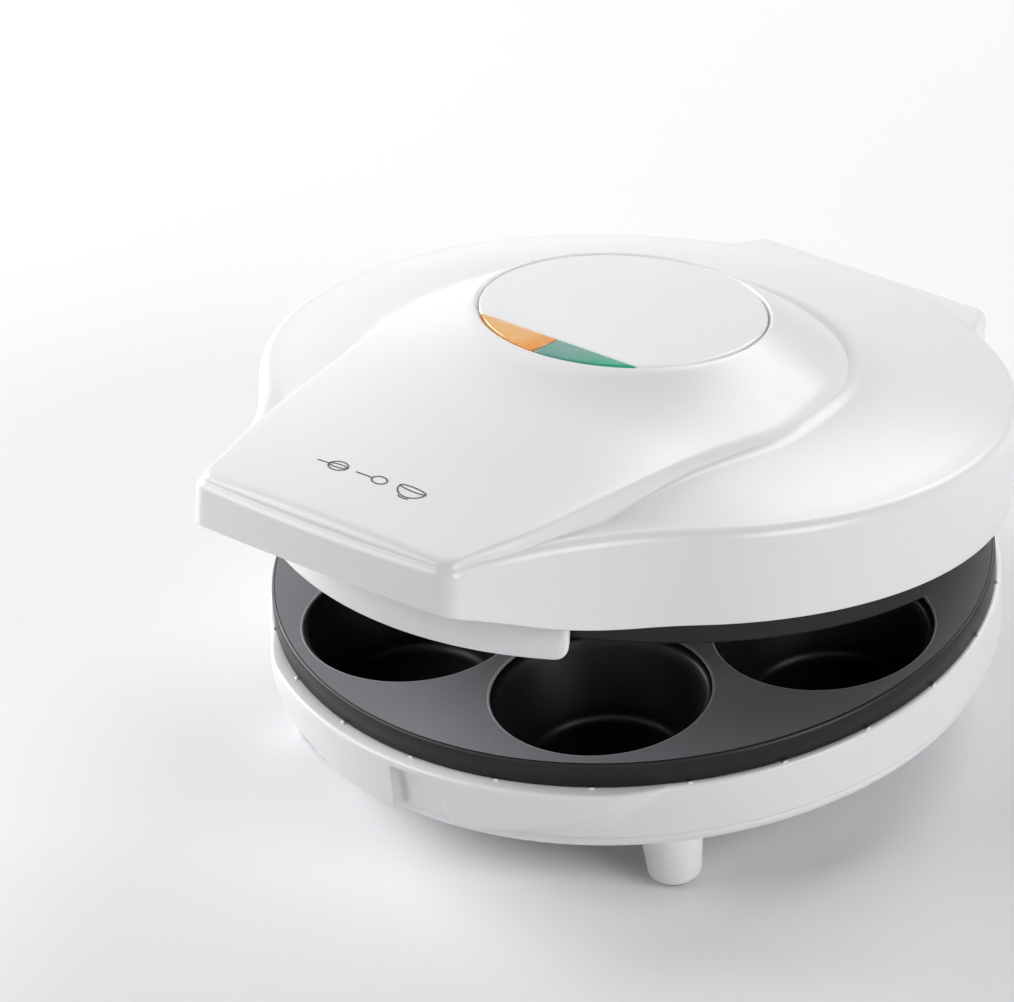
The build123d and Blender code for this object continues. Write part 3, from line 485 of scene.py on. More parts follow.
@dataclass
class Stance:
    """Where the drawn pieces stand: sizes are in millimetres from the plates' middle and the seam."""

    setback: float = 7.0837
    seam: float = 48.3
    hinge_reach: float = 118.0
    hinge_drop: float = 5.0
    opening: float = 10.9

    def base(self, points: np.ndarray) -> np.ndarray:
        """Moves points of the base to the row frame, in metres."""
        return (points + np.array((0.0, self.setback, self.seam))) * MM

    def lid(self, points: np.ndarray) -> np.ndarray:
        """Turns points of the shut lid to the stored opening, in metres.

        Args:
            points: rows of x, y and z, drawn with the lid shut.

        Returns:
            The points in the row frame, with the lid ajar.
        """
        turn = math.radians(self.opening)
        y = points[:, 1] - self.hinge_reach
        z = points[:, 2] + self.hinge_drop
        turned = np.column_stack((
            points[:, 0],
            self.hinge_reach + y * math.cos(turn) + z * math.sin(turn),
            -self.hinge_drop - y * math.sin(turn) + z * math.cos(turn)))
        return self.base(turned)

    def place(self, body: Body, points: np.ndarray) -> np.ndarray:
        """Moves points to where their body stands."""
        return self.lid(points) if body is Body.LID else self.base(points)


def around(angle: float, reach: float) -> np.ndarray:
    """Gives the plan point at an angle from the front, in degrees, and a reach from the middle."""
    turn = math.radians(angle)
    return np.array((reach * math.sin(turn), -reach * math.cos(turn)))


def smooth_max(first: np.ndarray, second: np.ndarray, width: float) -> np.ndarray:
    """Gives the larger of two heights, with the corner between them rounded.

    Args:
        first: heights of one surface.
        second: heights of the other.
        width: difference of height over which they blend.

    Returns:
        The blended heights.
    """
    near = np.maximum(width - np.abs(first - second), 0) / width
    return np.maximum(first, second) + near * near * width / 4


def smooth_min(first: np.ndarray, second: np.ndarray, width: float) -> np.ndarray:
    """Gives the smaller of two values, with the corner between them rounded."""
    return -smooth_max(-first, -second, width)


def soft_edge(depth: np.ndarray | float, width: float) -> np.ndarray:
    """Runs from zero to one as a depth past an edge grows, over a width that the edge halves."""
    return eased(depth / width + 0.5)


def quarter(count: int) -> np.ndarray:
    """Gives evenly spaced angles over a quarter turn, in radians."""
    return np.linspace(0, math.pi / 2, count)


def rounded(radius: float, count: int) -> list[tuple[float, float]]:
    """Gives how far each point of a rounded edge stands in and down, from its side to its top."""
    return [(radius * (1 - math.cos(turn)), radius * (1 - math.sin(turn))) for turn in quarter(count)]


def at_height(plan: np.ndarray, height: np.ndarray | float) -> np.ndarray:
    """Lifts rows of x and y to a height, or each to its own."""
    return np.column_stack((plan, np.broadcast_to(height, len(plan))))


def unit_rows(rows: np.ndarray) -> np.ndarray:
    """Scales each row to a length of one."""
    return rows / np.linalg.norm(rows, axis=1)[:, None]


def on_arc(turns: np.ndarray, reach: np.ndarray | float) -> np.ndarray:
    """Gives plan points at angles from the front, in radians, and a reach from the middle."""
    return np.column_stack((reach * np.sin(turns), -reach * np.cos(turns)))


def ring_faces(rows: int, columns: int, closed: bool = False) -> list[tuple[int, ...]]:
    """Joins closed rings of points into quads.

    Args:
        rows: number of rings.
        columns: points in each ring.
        closed: whether the last ring joins the first.

    Returns:
        Corner indices of each quad.
    """
    faces = []
    for row in range(rows if closed else rows - 1):
        low = row * columns
        high = (row + 1) % rows * columns
        for column in range(columns):
            after = (column + 1) % columns
            faces.append((low + column, low + after, high + after, high + column))
    return faces


def capped(rings: list[np.ndarray]) -> tuple[np.ndarray, list]:
    """Joins rings of points into a closed solid with a flat face at each end.

    Args:
        rings: rows of x, y and z, as many in each ring.

    Returns:
        Points and faces.
    """
    columns = len(rings[0])
    faces = ring_faces(len(rings), columns)
    faces.append(tuple(range(columns)))
    faces.append(tuple(range((len(rings) - 1) * columns, len(rings) * columns)))
    return np.vstack(rings), faces


def sampled_arc(centre: np.ndarray, radius: float, start: float, end: float, count: int) -> np.ndarray:
    """Gives points on an arc in plan, without its last one.

    Args:
        centre: centre of the arc.
        radius: its radius.
        start: first direction, in radians.
        end: last direction.
        count: number of points.

    Returns:
        Rows of x and y.
    """
    turns = start + (end - start) * np.arange(count) / count
    return centre + radius * np.column_stack((np.cos(turns), np.sin(turns)))


def direction(vector: np.ndarray) -> float:
    """Gives the heading of a plan vector, in radians."""
    return math.atan2(vector[1], vector[0])


def eased(share: np.ndarray | float) -> np.ndarray:
    """Runs from zero to one along a soft step, held outside it."""
    held = np.clip(share, 0, 1)
    return held * held * (3 - 2 * held)


def circle_points(centre: tuple[float, float] | np.ndarray, radius: float, count: int) -> np.ndarray:
    """Gives evenly spaced points on a circle, as rows of two numbers."""
    turns = 2 * math.pi * np.arange(count) / count
    return np.asarray(centre) + on_arc(turns, radius)


def spun(profile: list | tuple, count: int, closed: bool = False) -> tuple[np.ndarray, list]:
    """Turns a profile of radii and heights round the upright axis.

    Args:
        profile: radius and height of each ring.
        count: points in each ring.
        closed: whether the last ring joins the first.

    Returns:
        Points and faces.
    """
    unit = circle_points((0.0, 0.0), 1.0, count)
    rows = [at_height(unit * radius, height) for radius, height in profile]
    return np.vstack(rows), ring_faces(len(rows), count, closed)


def hull(points: np.ndarray) -> np.ndarray:
    """Gives the convex outline round points in a plane.

    Args:
        points: rows of two numbers.

    Returns:
        The corners, in turning order.
    """
    ordered = sorted(map(tuple, points))

    def chain(row: list) -> list:
        """Keeps the corners of one side.

        Args:
            row: points in order along it.

        Returns:
            The corners, without the last.
        """
        kept = []
        for point in row:
            while len(kept) > 1:
                last_leg = np.subtract(kept[-1], kept[-2])
                if np.cross(last_leg, np.subtract(point, kept[-1])) > 0:
                    break
                kept.pop()
            kept.append(point)
        return kept[:-1]

    return np.array(chain(ordered) + chain(ordered[::-1]))


def slab(outline: np.ndarray, start: float, end: float, bevel: float) -> tuple[np.ndarray, list]:
    """Gives an outline in the upright plane of the hinge a width across, with rounded rims.

    Args:
        outline: rows of y and z.
        start: x of one side.
        end: x of the other.
        bevel: radius of its rims.

    Returns:
        Points and faces.
    """
    middle = outline.mean(axis=0)
    size = np.linalg.norm(outline - middle, axis=1).mean()
    rim = rounded(bevel, RIM_ROWS)
    near = [(start + drop, inset) for inset, drop in rim[::-1]]
    far = [(end - drop, inset) for inset, drop in rim]
    return capped([
        np.column_stack((np.full(len(outline), x), middle + (outline - middle) * (1 - inset / size)))
        for x, inset in near + far])


def pierced(loops: list[np.ndarray]) -> tuple[np.ndarray, list]:
    """Fills the flat space inside the first loop and outside the others with triangles.

    Args:
        loops: closed rows of x and y.

    Returns:
        Points and faces.
    """
    work = bmesh.new()
    edges = []
    for loop in loops:
        corners = [work.verts.new((x, y, 0.0)) for x, y in loop]
        edges += [work.edges.new((corners[k - 1], corners[k])) for k in range(len(corners))]
    bmesh.ops.triangle_fill(work, edges=edges, use_beauty=True, normal=(0, 0, 1))
    work.verts.index_update()
    points = np.array([corner.co[:] for corner in work.verts])
    faces = [tuple(corner.index for corner in face.verts) for face in work.faces]
    work.free()
    return points, faces


def refined(path: np.ndarray, step: float) -> np.ndarray:
    """Divides a path into even steps.

    Args:
        path: rows of x and y.
        step: about how long each step is.

    Returns:
        Rows of x and y.
    """
    legs = np.hypot(*np.diff(path, axis=0).T)
    run = np.append(0, np.cumsum(legs))
    wanted = np.linspace(0, run[-1], max(int(run[-1] / step), 2) + 1)
    return np.column_stack([np.interp(wanted, run, path[:, axis]) for axis in (0, 1)])


def node_group(name: str, inputs: dict[str, str]) -> bpy.types.NodeTree:
    """Starts a geometry tree with named inputs.

    Args:
        name: name of the tree.
        inputs: name of each input and the kind of its socket.

    Returns:
        The tree, with its output declared.
    """
    tree = bpy.data.node_groups.new(name, "GeometryNodeTree")
    for label, kind in inputs.items():
        tree.interface.new_socket(label, in_out="INPUT", socket_type=f"NodeSocket{kind}")
    tree.interface.new_socket("Geometry", in_out="OUTPUT", socket_type="NodeSocketGeometry")
    return tree


def close_group(tree: bpy.types.NodeTree, shape: bpy.types.NodeSocket,
                finish: bpy.types.NodeSocket) -> bpy.types.NodeTree:
    """Ends a tree by making its instances real and giving them their material.

    Args:
        tree: the tree.
        shape: its instances.
        finish: their material.

    Returns:
        The same tree.
    """
    real = add_node(tree, "GeometryNodeRealizeInstances", {"Geometry": shape})
    smooth = add_node(tree, "GeometryNodeSetShadeSmooth", {"Geometry": real.outputs[0]})
    dressed = add_node(tree, "GeometryNodeSetMaterial", {"Geometry": smooth.outputs[0], "Material": finish})
    add_node(tree, "NodeGroupOutput", {"Geometry": dressed.outputs[0]})
    return tree


def grown(name: str, tree: bpy.types.NodeTree, values: dict) -> bpy.types.Mesh:
    """Runs a geometry tree and keeps what it makes as a plain mesh.

    Args:
        name: name of the mesh.
        tree: the tree.
        values: what each named input gets.

    Returns:
        The mesh.
    """
    host = bpy.data.objects.new(name, bpy.data.meshes.new(name))
    bpy.context.scene.collection.objects.link(host)
    grow = host.modifiers.new("grow", "NODES")
    grow.node_group = tree
    for item in tree.interface.items_tree:
        if item.item_type == "SOCKET" and item.in_out == "INPUT":
            grow[item.identifier] = values[item.name]
    evaluated = host.evaluated_get(bpy.context.evaluated_depsgraph_get())
    data = bpy.data.meshes.new_from_object(evaluated)
    data.name = name
    bpy.data.objects.remove(host)
    return data


def tidy_mesh(data: bpy.types.Mesh, upward: bool = False, flat: bool = False) -> None:
    """Merges doubles, points the faces outwards and sets their shading.

    Args:
        data: the mesh.
        upward: whether it is an open surface, drawn in one turning order, with its seen side on top.
        flat: whether the faces keep their own shading.
    """
    work = bmesh.new()
    work.from_mesh(data)
    bmesh.ops.remove_doubles(work, verts=work.verts, dist=MERGE_DISTANCE)
    if not upward:
        bmesh.ops.recalc_face_normals(work, faces=work.faces)
    elif sum(face.normal.z * face.calc_area() for face in work.faces) < 0:
        bmesh.ops.reverse_faces(work, faces=work.faces)
    for face in work.faces:
        face.smooth = not flat
    work.to_mesh(data)
    work.free()


def thicken(piece: bpy.types.Object, wall: float) -> None:
    """Gives an open surface a wall on its unseen side.

    Args:
        piece: the surface.
        wall: the wall's thickness, in millimetres.
    """
    solid = piece.modifiers.new("wall", "SOLIDIFY")
    solid.thickness = wall * MM
    solid.offset = -1.0


@dataclass(frozen=True)
class HingeLeaf:
    """Sizes of one plate round a hinge pin."""

    radius: float
    inner: float
    width: float
    bevel: float


@dataclass
class Bench:
    """What every sub-assembly works with: the stance and the materials."""

    workshop: Workshop
    stance: Stance = field(default_factory=Stance)

    def hang(self, name: str, body: Body, slot: str, data: bpy.types.Mesh,
             replaces: tuple[str, ...] = ()) -> bpy.types.Object:
        """Makes a piece of a finished mesh and hangs it on its body.

        Args:
            name: name of the piece.
            body: body that carries it.
            slot: material slot of the record; not used.
            data: its mesh, in the row frame.
            replaces: CAD nodes that it stands for.

        Returns:
            The new object.
        """
        piece = bpy.data.objects.new(name, data)
        bpy.context.scene.collection.objects.link(piece)
        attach(piece, body.value)
        if replaces:
            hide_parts(*replaces)
        log.info("made %s: %d faces, rides on %s", name, len(data.polygons), body.value)
        return piece

    def piece(self, name: str, body: Body, slot: str, points: np.ndarray, faces: list,
              replaces: tuple[str, ...] = (), upward: bool = False, flat: bool = False,
              finish: Finish | None = None) -> bpy.types.Object:
        """Makes a piece from points and faces drawn in millimetres.

        Args:
            name: name of the piece.
            body: body that carries it.
            slot: material slot of the record.
            points: rows of x, y and z from the plates' middle and the seam.
            faces: corner indices.
            replaces: CAD nodes that it stands for.
            upward: whether an open surface has its seen side on top.
            flat: whether the faces keep their own shading.
            finish: finish that takes the place of the slot's usual one.

        Returns:
            The new object.
        """
        data = bpy.data.meshes.new(name)
        data.from_pydata([tuple(p) for p in self.stance.place(body, points)], [], faces)
        tidy_mesh(data, upward, flat)
        data.materials.append(self.workshop.finished(finish or SLOT_FINISHES[slot]))
        return self.hang(name, body, slot, data, replaces)

    def hinge_pair(self, name: str, body: Body, leaf: HingeLeaf, root: tuple, replaces: str) -> None:
        """Makes the left and the right plate round the hinge pins.

        Args:
            name: name of each, without its side.
            body: body that carries them.
            leaf: sizes of each.
            root: corners of the foot, as y and z.
            replaces: CAD node that they stand for.
        """
        eye = circle_points((self.stance.hinge_reach, -self.stance.hinge_drop), leaf.radius, EYE_COUNT)
        outline = hull(np.vstack((eye, root)))
        for side, label in ((-1, "left"), (1, "right")):
            start, end = sorted((side * leaf.inner, side * (leaf.inner + leaf.width)))
            points, faces = slab(outline, start, end, leaf.bevel)
            self.piece(f"{label}_{name}", body, "white_plastic", points, faces, replaces=(replaces,))


@dataclass
class LidPlan:
    """Plan of the lid: a round skirt that runs out in hollow curves to a blunt handle."""

    radius: float = 112.0
    hip: float = 47.0
    half: float = 47.0
    front: float = 148.0
    bow: float = 2.5
    corner: float = 7.0
    back_count: int = 200
    hollow_count: int = 60
    corner_count: int = 14
    front_count: int = 36

    def half_outline(self, inset: float) -> np.ndarray:
        """Gives the outline from the middle of the front to the middle of the back, on the right.

        Args:
            inset: how far the outline is drawn in.

        Returns:
            Rows of x and y.
        """
        heading = around(self.hip, 1)
        end = np.array((self.half, -self.front))
        leg = heading * self.radius - end
        hollow = leg @ leg / (2 * (heading @ end - self.radius))
        waist = heading * (self.radius + hollow)
        bend = (self.half ** 2 + self.bow ** 2) / (2 * self.bow)
        middle = np.array((0.0, bend - self.front - self.bow))
        from_waist = hollow + self.corner
        from_middle = bend - self.corner
        across = middle - waist
        span = math.hypot(*across)
        along = (from_waist ** 2 - from_middle ** 2 + span ** 2) / (2 * span)
        aside = math.sqrt(from_waist ** 2 - along ** 2)
        unit = across / span
        normal = np.array((-unit[1], unit[0]))
        tips = [waist + unit * along + normal * aside * side for side in (-1, 1)]
        tip = min(tips, key=lambda point: math.dist(point, end))
        front = sampled_arc(middle, bend - inset, -math.pi / 2, direction(tip - middle), self.front_count)
        corner = sampled_arc(tip, self.corner - inset, direction(tip - middle),
                             direction(waist - tip), self.corner_count)
        hollow_arc = sampled_arc(waist, hollow + inset, direction(tip - waist) % (2 * math.pi),
                                 direction(-heading) % (2 * math.pi), self.hollow_count)
        round_arc = sampled_arc(np.zeros(2), self.radius - inset, direction(heading), math.pi / 2,
                                self.back_count)
        return np.vstack((front, corner, hollow_arc, round_arc, (0.0, self.radius - inset)))

    def outline(self, inset: float = 0.0) -> np.ndarray:
        """Gives the whole closed outline, from the front's middle and round to the right.

        Args:
            inset: how far the outline is drawn in.

        Returns:
            Rows of x and y.
        """
        right = self.half_outline(inset)
        left = right[-2:0:-1] * np.array((-1.0, 1.0))
        return np.vstack((right, left))


@dataclass
class LidShell:
    """Top shell of the lid in one skin: badge rim, dome, crowned handle, shoulder and skirt.

    The raised keyhole form is a height field over the plan. Rays from the badge's
    middle carry the rows of points, so a row runs along each crease of the real one.
    """

    bench: Bench
    plan: LidPlan = field(default_factory=LidPlan)
    wall: float = 2.5
    skirt_start: float = 8.0
    ridge: float = 37.5
    ridge_round: float = 4.0
    brow_radius: float = 66.0
    brow: float = 47.0
    dome_forward: float = 10.0
    dome_radius: float = 66.5
    dome_edge: float = 48.0
    badge_top: float = 60.9
    seat: float = 58.9
    groove: float = 60.15
    groove_radius: float = 42.45
    seat_radius: float = 43.1
    rim_radius: float = 43.9
    rim_round: float = 0.75
    station_forwards: tuple[float, ...] = (20.0, 70.0, 112.0, 152.5)
    station_halves: tuple[float, ...] = (66.0, 60.5, 54.0, 44.5)
    station_edges: tuple[float, ...] = (47.0, 45.5, 41.5, 38.2)
    station_crowns: tuple[float, ...] = (59.5, 54.0, 46.5, 39.6)
    handle_step: float = 1.6
    neck_blend: float = 16.0
    neck_fade: float = 0.3
    dome_blend: float = 5.0
    step_width: float = 3.4
    shoulder_swell: float = 0.9
    underside_start: float = 104.0
    underside_end: float = 23.0
    underside_blend: float = 5.0
    hem: float = 0.7
    halvings: int = 40
    rim_rows: int = 5
    dome_rows: int = 17
    step_rows: int = 9
    shoulder_rows: int = 9
    ridge_rows: int = 9
    wall_rows: int = 7
    hem_rows: int = 4

    def station(self, sizes: tuple[float, ...], forward: np.ndarray) -> np.ndarray:
        """Runs one smooth curve through the sizes at the handle's stations."""
        curve = np.polyfit(self.station_forwards, sizes, len(sizes) - 1)
        return np.polyval(curve, forward)

    def raised(self, plan: np.ndarray) -> np.ndarray:
        """Gives the height of the dome and the handle's crowned top.

        Args:
            plan: rows of x and y.

        Returns:
            Heights above the seam.
        """
        across, forward = plan[:, 0], -plan[:, 1]
        reach = np.hypot(across, forward - self.dome_forward)
        fall = (self.badge_top - self.dome_edge) / (self.dome_radius - self.rim_radius)
        dome = self.badge_top - fall * (reach - self.rim_radius)
        back, front = self.station_forwards[0], self.station_forwards[-1]
        along = np.clip(forward, back, front)
        half = self.station(self.station_halves, along)
        edge = self.station(self.station_edges, along)
        crown = self.station(self.station_crowns, along)
        arch = edge + (crown - edge) * (1 - (across / half) ** 2)
        behind = np.maximum(back - forward, 0)
        arch = arch - behind ** 2 / back
        return smooth_max(dome, arch, self.dome_blend)

    def lower(self, plan: np.ndarray, inset: np.ndarray) -> np.ndarray:
        """Gives the height of the shoulder and of the rounded ridge.

        Args:
            plan: rows of x and y.
            inset: distance of each point from the outline.

        Returns:
            Heights above the seam.
        """
        reach = np.hypot(plan[:, 0], plan[:, 1])
        rise_width = self.plan.radius - self.ridge_round - self.brow_radius
        share = np.clip((self.plan.radius - self.ridge_round - reach) / rise_width, 0, 1)
        swell = self.shoulder_swell * 4 * share * (1 - share)
        cone = self.ridge + (self.brow - self.ridge) * share + swell
        near = np.clip(1 - inset / self.ridge_round, 0, 1)
        drop = self.ridge_round * (1 - np.sqrt(np.maximum(1 - near ** 2, 0)))
        return cone - drop

    def keyhole(self, outline: np.ndarray, centre: np.ndarray) -> np.ndarray:
        """Gives, along the ray to each outline point, how far the raised form reaches.

        Args:
            outline: rows of x and y.
            centre: where the rays start.

        Returns:
            Reach along each ray.
        """
        rays = unit_rows(outline - centre)
        low = np.zeros(len(rays))
        high = np.full(len(rays), 2 * self.plan.front)
        for _ in range(self.halvings):
            half_way = (low + high) / 2
            points = centre + rays * half_way[:, None]
            forward = np.clip(-points[:, 1], self.station_forwards[0], self.station_forwards[-1])
            inside = np.abs(points[:, 0]) < self.station(self.station_halves, forward)
            low = np.where(inside, half_way, low)
            high = np.where(inside, high, half_way)
        inner = self.plan.outline(self.handle_step) - centre
        turns = np.unwrap(np.arctan2(inner[:, 1], inner[:, 0]))
        wanted = np.unwrap(np.arctan2(rays[:, 1], rays[:, 0]))
        limit = np.interp(wanted, np.append(turns, turns[0] + 2 * math.pi),
                          np.append(np.hypot(*inner.T), math.hypot(*inner[0])), period=2 * math.pi)
        side = smooth_min(low, limit, self.handle_step)
        fade = eased((self.neck_fade - rays[:, 1]) / (2 * self.neck_fade))
        plain = self.dome_radius - self.neck_blend
        side = plain + (side - plain) * fade
        return smooth_max(side, np.full(len(rays), self.dome_radius), self.neck_blend)

    def hem_height(self, forward: np.ndarray) -> np.ndarray:
        """Gives the height of the skirt's lower edge, which rises under the handle.

        Args:
            forward: distances in front of the plates' middle.

        Returns:
            Heights above the seam.
        """
        climb = (self.underside_end - self.skirt_start) / (self.plan.front - self.underside_start)
        rising = self.skirt_start + climb * (forward - self.underside_start)
        return smooth_max(rising, np.full(len(forward), self.skirt_start), self.underside_blend)

    def build(self) -> None:
        """Makes the skin, its wall and the seat for the badge."""
        outline = self.plan.outline()
        centre = np.array((0.0, -self.dome_forward))
        rays = unit_rows(outline - centre)
        reach = self.keyhole(outline, centre)
        foot = centre + rays * reach[:, None]
        gap = self.gap_to(outline, foot)
        rows = []

        def add_row(plan: np.ndarray, height: np.ndarray | float) -> None:
            """Keeps one ring of the skin."""
            rows.append(at_height(plan, height))

        def ring(radius: float, height: float) -> None:
            """Keeps one round ring about the badge's middle."""
            add_row(centre + rays * radius, height)

        ring(self.groove_radius - 2 * self.rim_round, self.seat)
        ring(self.groove_radius, self.seat)
        ring(self.groove_radius, self.groove)
        ring(self.seat_radius, self.groove)
        for inset, drop in rounded(self.rim_round, self.rim_rows):
            ring(self.seat_radius + inset, self.badge_top - drop)
        lower_foot = self.lower(foot, gap)
        start = self.rim_radius
        for share in np.linspace(0, 1, self.dome_rows)[:-1]:
            row = centre + rays * (start + (reach - self.step_width - start) * share)[:, None]
            add_row(row, self.raised(row))
        for _, depth in rounded(self.step_width, self.step_rows):
            row = centre + rays * (reach - depth)[:, None]
            lift = math.sqrt(max(1 - (1 - depth / self.step_width) ** 2, 0))
            high = np.maximum(self.raised(row), lower_foot)
            add_row(row, lower_foot + (high - lower_foot) * lift)
        band = np.minimum(gap, self.ridge_round)
        insets = [gap + (band - gap) * share for share in np.linspace(0, 1, self.shoulder_rows)[1:]]
        insets += [band * (1 - math.sin(turn)) for turn in quarter(self.ridge_rows)[1:]]
        for inset in insets:
            row = outline + (foot - outline) * (inset / gap)[:, None]
            add_row(row, self.lower(row, inset))
        shelf = self.ridge - self.ridge_round
        hem = self.hem_height(-outline[:, 1])
        for share in np.linspace(0, 1, self.wall_rows)[1:]:
            add_row(outline, shelf + (hem + self.hem - shelf) * share)
        for inset, drop in rounded(self.hem, self.hem_rows)[1:]:
            add_row(self.plan.outline(inset), hem + drop)
        skin = self.bench.piece("lid_skin", Body.LID, "white_plastic", np.vstack(rows),
                                ring_faces(len(rows), len(outline)), replaces=("lid_housing",),
                                upward=True)
        thicken(skin, self.wall)

    def gap_to(self, outline: np.ndarray, points: np.ndarray) -> np.ndarray:
        """Gives the distance of each point from the outline.

        Args:
            outline: closed row of corners.
            points: rows of x and y.

        Returns:
            Distances.
        """
        leg = np.roll(outline, -1, axis=0) - outline
        spare = points[:, None, :] - outline[None, :, :]
        share = np.clip((spare * leg).sum(2) / (leg ** 2).sum(1), 0, 1)
        return np.linalg.norm(spare - share[:, :, None] * leg, axis=2).min(1)


@dataclass
class LidBack:
    """Back of the lid: the block over the hinge, the two arms and the ring under the skirt."""

    bench: Bench
    plan: LidPlan = field(default_factory=lambda: LidPlan(
        hip=32.0, half=43.0, front=119.0, bow=0.02, corner=5.0))
    underside: float = 14.0
    top: float = 35.0
    top_round: float = 3.0
    top_rows: int = 7
    foot_round: float = 0.8
    foot_rows: int = 4
    arm: HingeLeaf = HingeLeaf(radius=7.5, inner=13.0, width=10.0, bevel=0.8)
    arm_back: float = 117.75
    arm_strap: float = 7.4
    ring_inner: float = 106.2
    ring_outer: float = 109.8
    ring_low: float = 8.0
    ring_high: float = 11.0
    ring_count: int = 180

    def block_row(self, inset: float, height: float) -> np.ndarray:
        """Gives one closed row of the block's outline, turned round to the back.

        Args:
            inset: how far the outline is drawn in.
            height: height above the seam.

        Returns:
            Rows of x, y and z.
        """
        used = self.plan.front_count + self.plan.corner_count + self.plan.hollow_count
        right = self.plan.half_outline(inset)[:used]
        left = right[:0:-1] * np.array((-1.0, 1.0))
        return at_height(-np.vstack((right, left)), height)

    def build(self) -> None:
        """Makes the block, the ring and the arms."""
        rows = [self.block_row(drop, self.underside + inset)
                for inset, drop in rounded(self.foot_round, self.foot_rows)]
        rows += [self.block_row(inset, self.top - drop)
                 for inset, drop in rounded(self.top_round, self.top_rows)]
        points, faces = capped(rows)
        self.bench.piece("lid_rear_block", Body.LID, "white_plastic", points, faces,
                         replaces=("lid_housing",))
        profile = ((self.ring_inner, self.ring_low), (self.ring_outer, self.ring_low),
                   (self.ring_outer, self.ring_high), (self.ring_inner, self.ring_high))
        points, faces = spun(profile, self.ring_count, closed=True)
        self.bench.piece("lid_bezel_ring", Body.LID, "white_plastic", points, faces,
                         replaces=("lid_housing",))
        level = self.underside + self.top_round
        root = ((self.arm_back, level), (self.arm_back - self.arm_strap, level))
        self.bench.hinge_pair("hinge_arm", Body.LID, self.arm, root, "lid_housing")


@dataclass
class Badge:
    """Bare disc on the dome, with the amber and green lenses in the segment cut from its front."""

    bench: Bench
    forward: float = 10.0
    radius: float = 42.35
    chord: float = 31.0
    low: float = 59.0
    high: float = 60.95
    disc_round: float = 0.8
    lens_round: float = 0.5
    lens_gap: float = 0.15
    edge_rows: int = 7
    arc_count: int = 160
    chord_count: int = 40
    lens_arc_count: int = 48
    lens_chord_count: int = 24

    def disc_row(self, inset: float) -> np.ndarray:
        """Gives the disc's outline, round the back from one end of the chord to the other.

        Args:
            inset: how far the outline is drawn in.

        Returns:
            Rows of x and y from the badge's middle.
        """
        radius, chord = self.radius - inset, self.chord - inset
        end = math.acos(chord / radius)
        arc = on_arc(np.linspace(end, 2 * math.pi - end, self.arc_count), radius)
        return np.vstack((arc, np.linspace(arc[-1], arc[0], self.chord_count)[1:-1]))

    def lens_row(self, side: int, inset: float) -> np.ndarray:
        """Gives one lens's outline, from the middle line out along the arc and back along the chord.

        Args:
            side: one for the right lens, minus one for the left.
            inset: how far the outline is drawn in.

        Returns:
            Rows of x and y from the badge's middle.
        """
        # The gap runs round each lens, so its arc and its chord step in by as much.
        edge = self.lens_gap + inset
        radius, chord = self.radius - edge, self.chord + edge
        turns = np.linspace(math.asin(edge / radius), math.acos(chord / radius), self.lens_arc_count)
        arc = on_arc(turns, radius)
        straight = np.linspace(arc[-1], (edge, -chord), self.lens_chord_count)[1:]
        return np.vstack((arc, straight)) * np.array((side, 1))

    def raise_rows(self, name: str, slot: str, edge: float, outline: Callable[[float], np.ndarray],
                   replaces: str) -> None:
        """Makes one flat-topped piece with a rounded upper edge.

        Args:
            name: name of the piece.
            slot: material slot.
            edge: radius of its upper edge.
            outline: gives its outline for an inset.
            replaces: CAD node that it stands for.
        """
        steps = [(0.0, self.low)]
        steps += [(inset, self.high - drop) for inset, drop in rounded(edge, self.edge_rows)]
        points, faces = capped([
            at_height(outline(inset) - (0.0, self.forward), height) for inset, height in steps])
        self.bench.piece(name, Body.LID, slot, points, faces, replaces=(replaces,))

    def build(self) -> None:
        """Makes the disc and the two lenses."""
        self.raise_rows("badge_cap", "badge_plastic", self.disc_round, self.disc_row, "badge_disc")
        self.raise_rows("amber_window", "amber_lens", self.lens_round,
                        lambda inset: self.lens_row(-1, inset), "amber_lens")
        self.raise_rows("green_window", "green_lens", self.lens_round,
                        lambda inset: self.lens_row(1, inset), "green_lens")


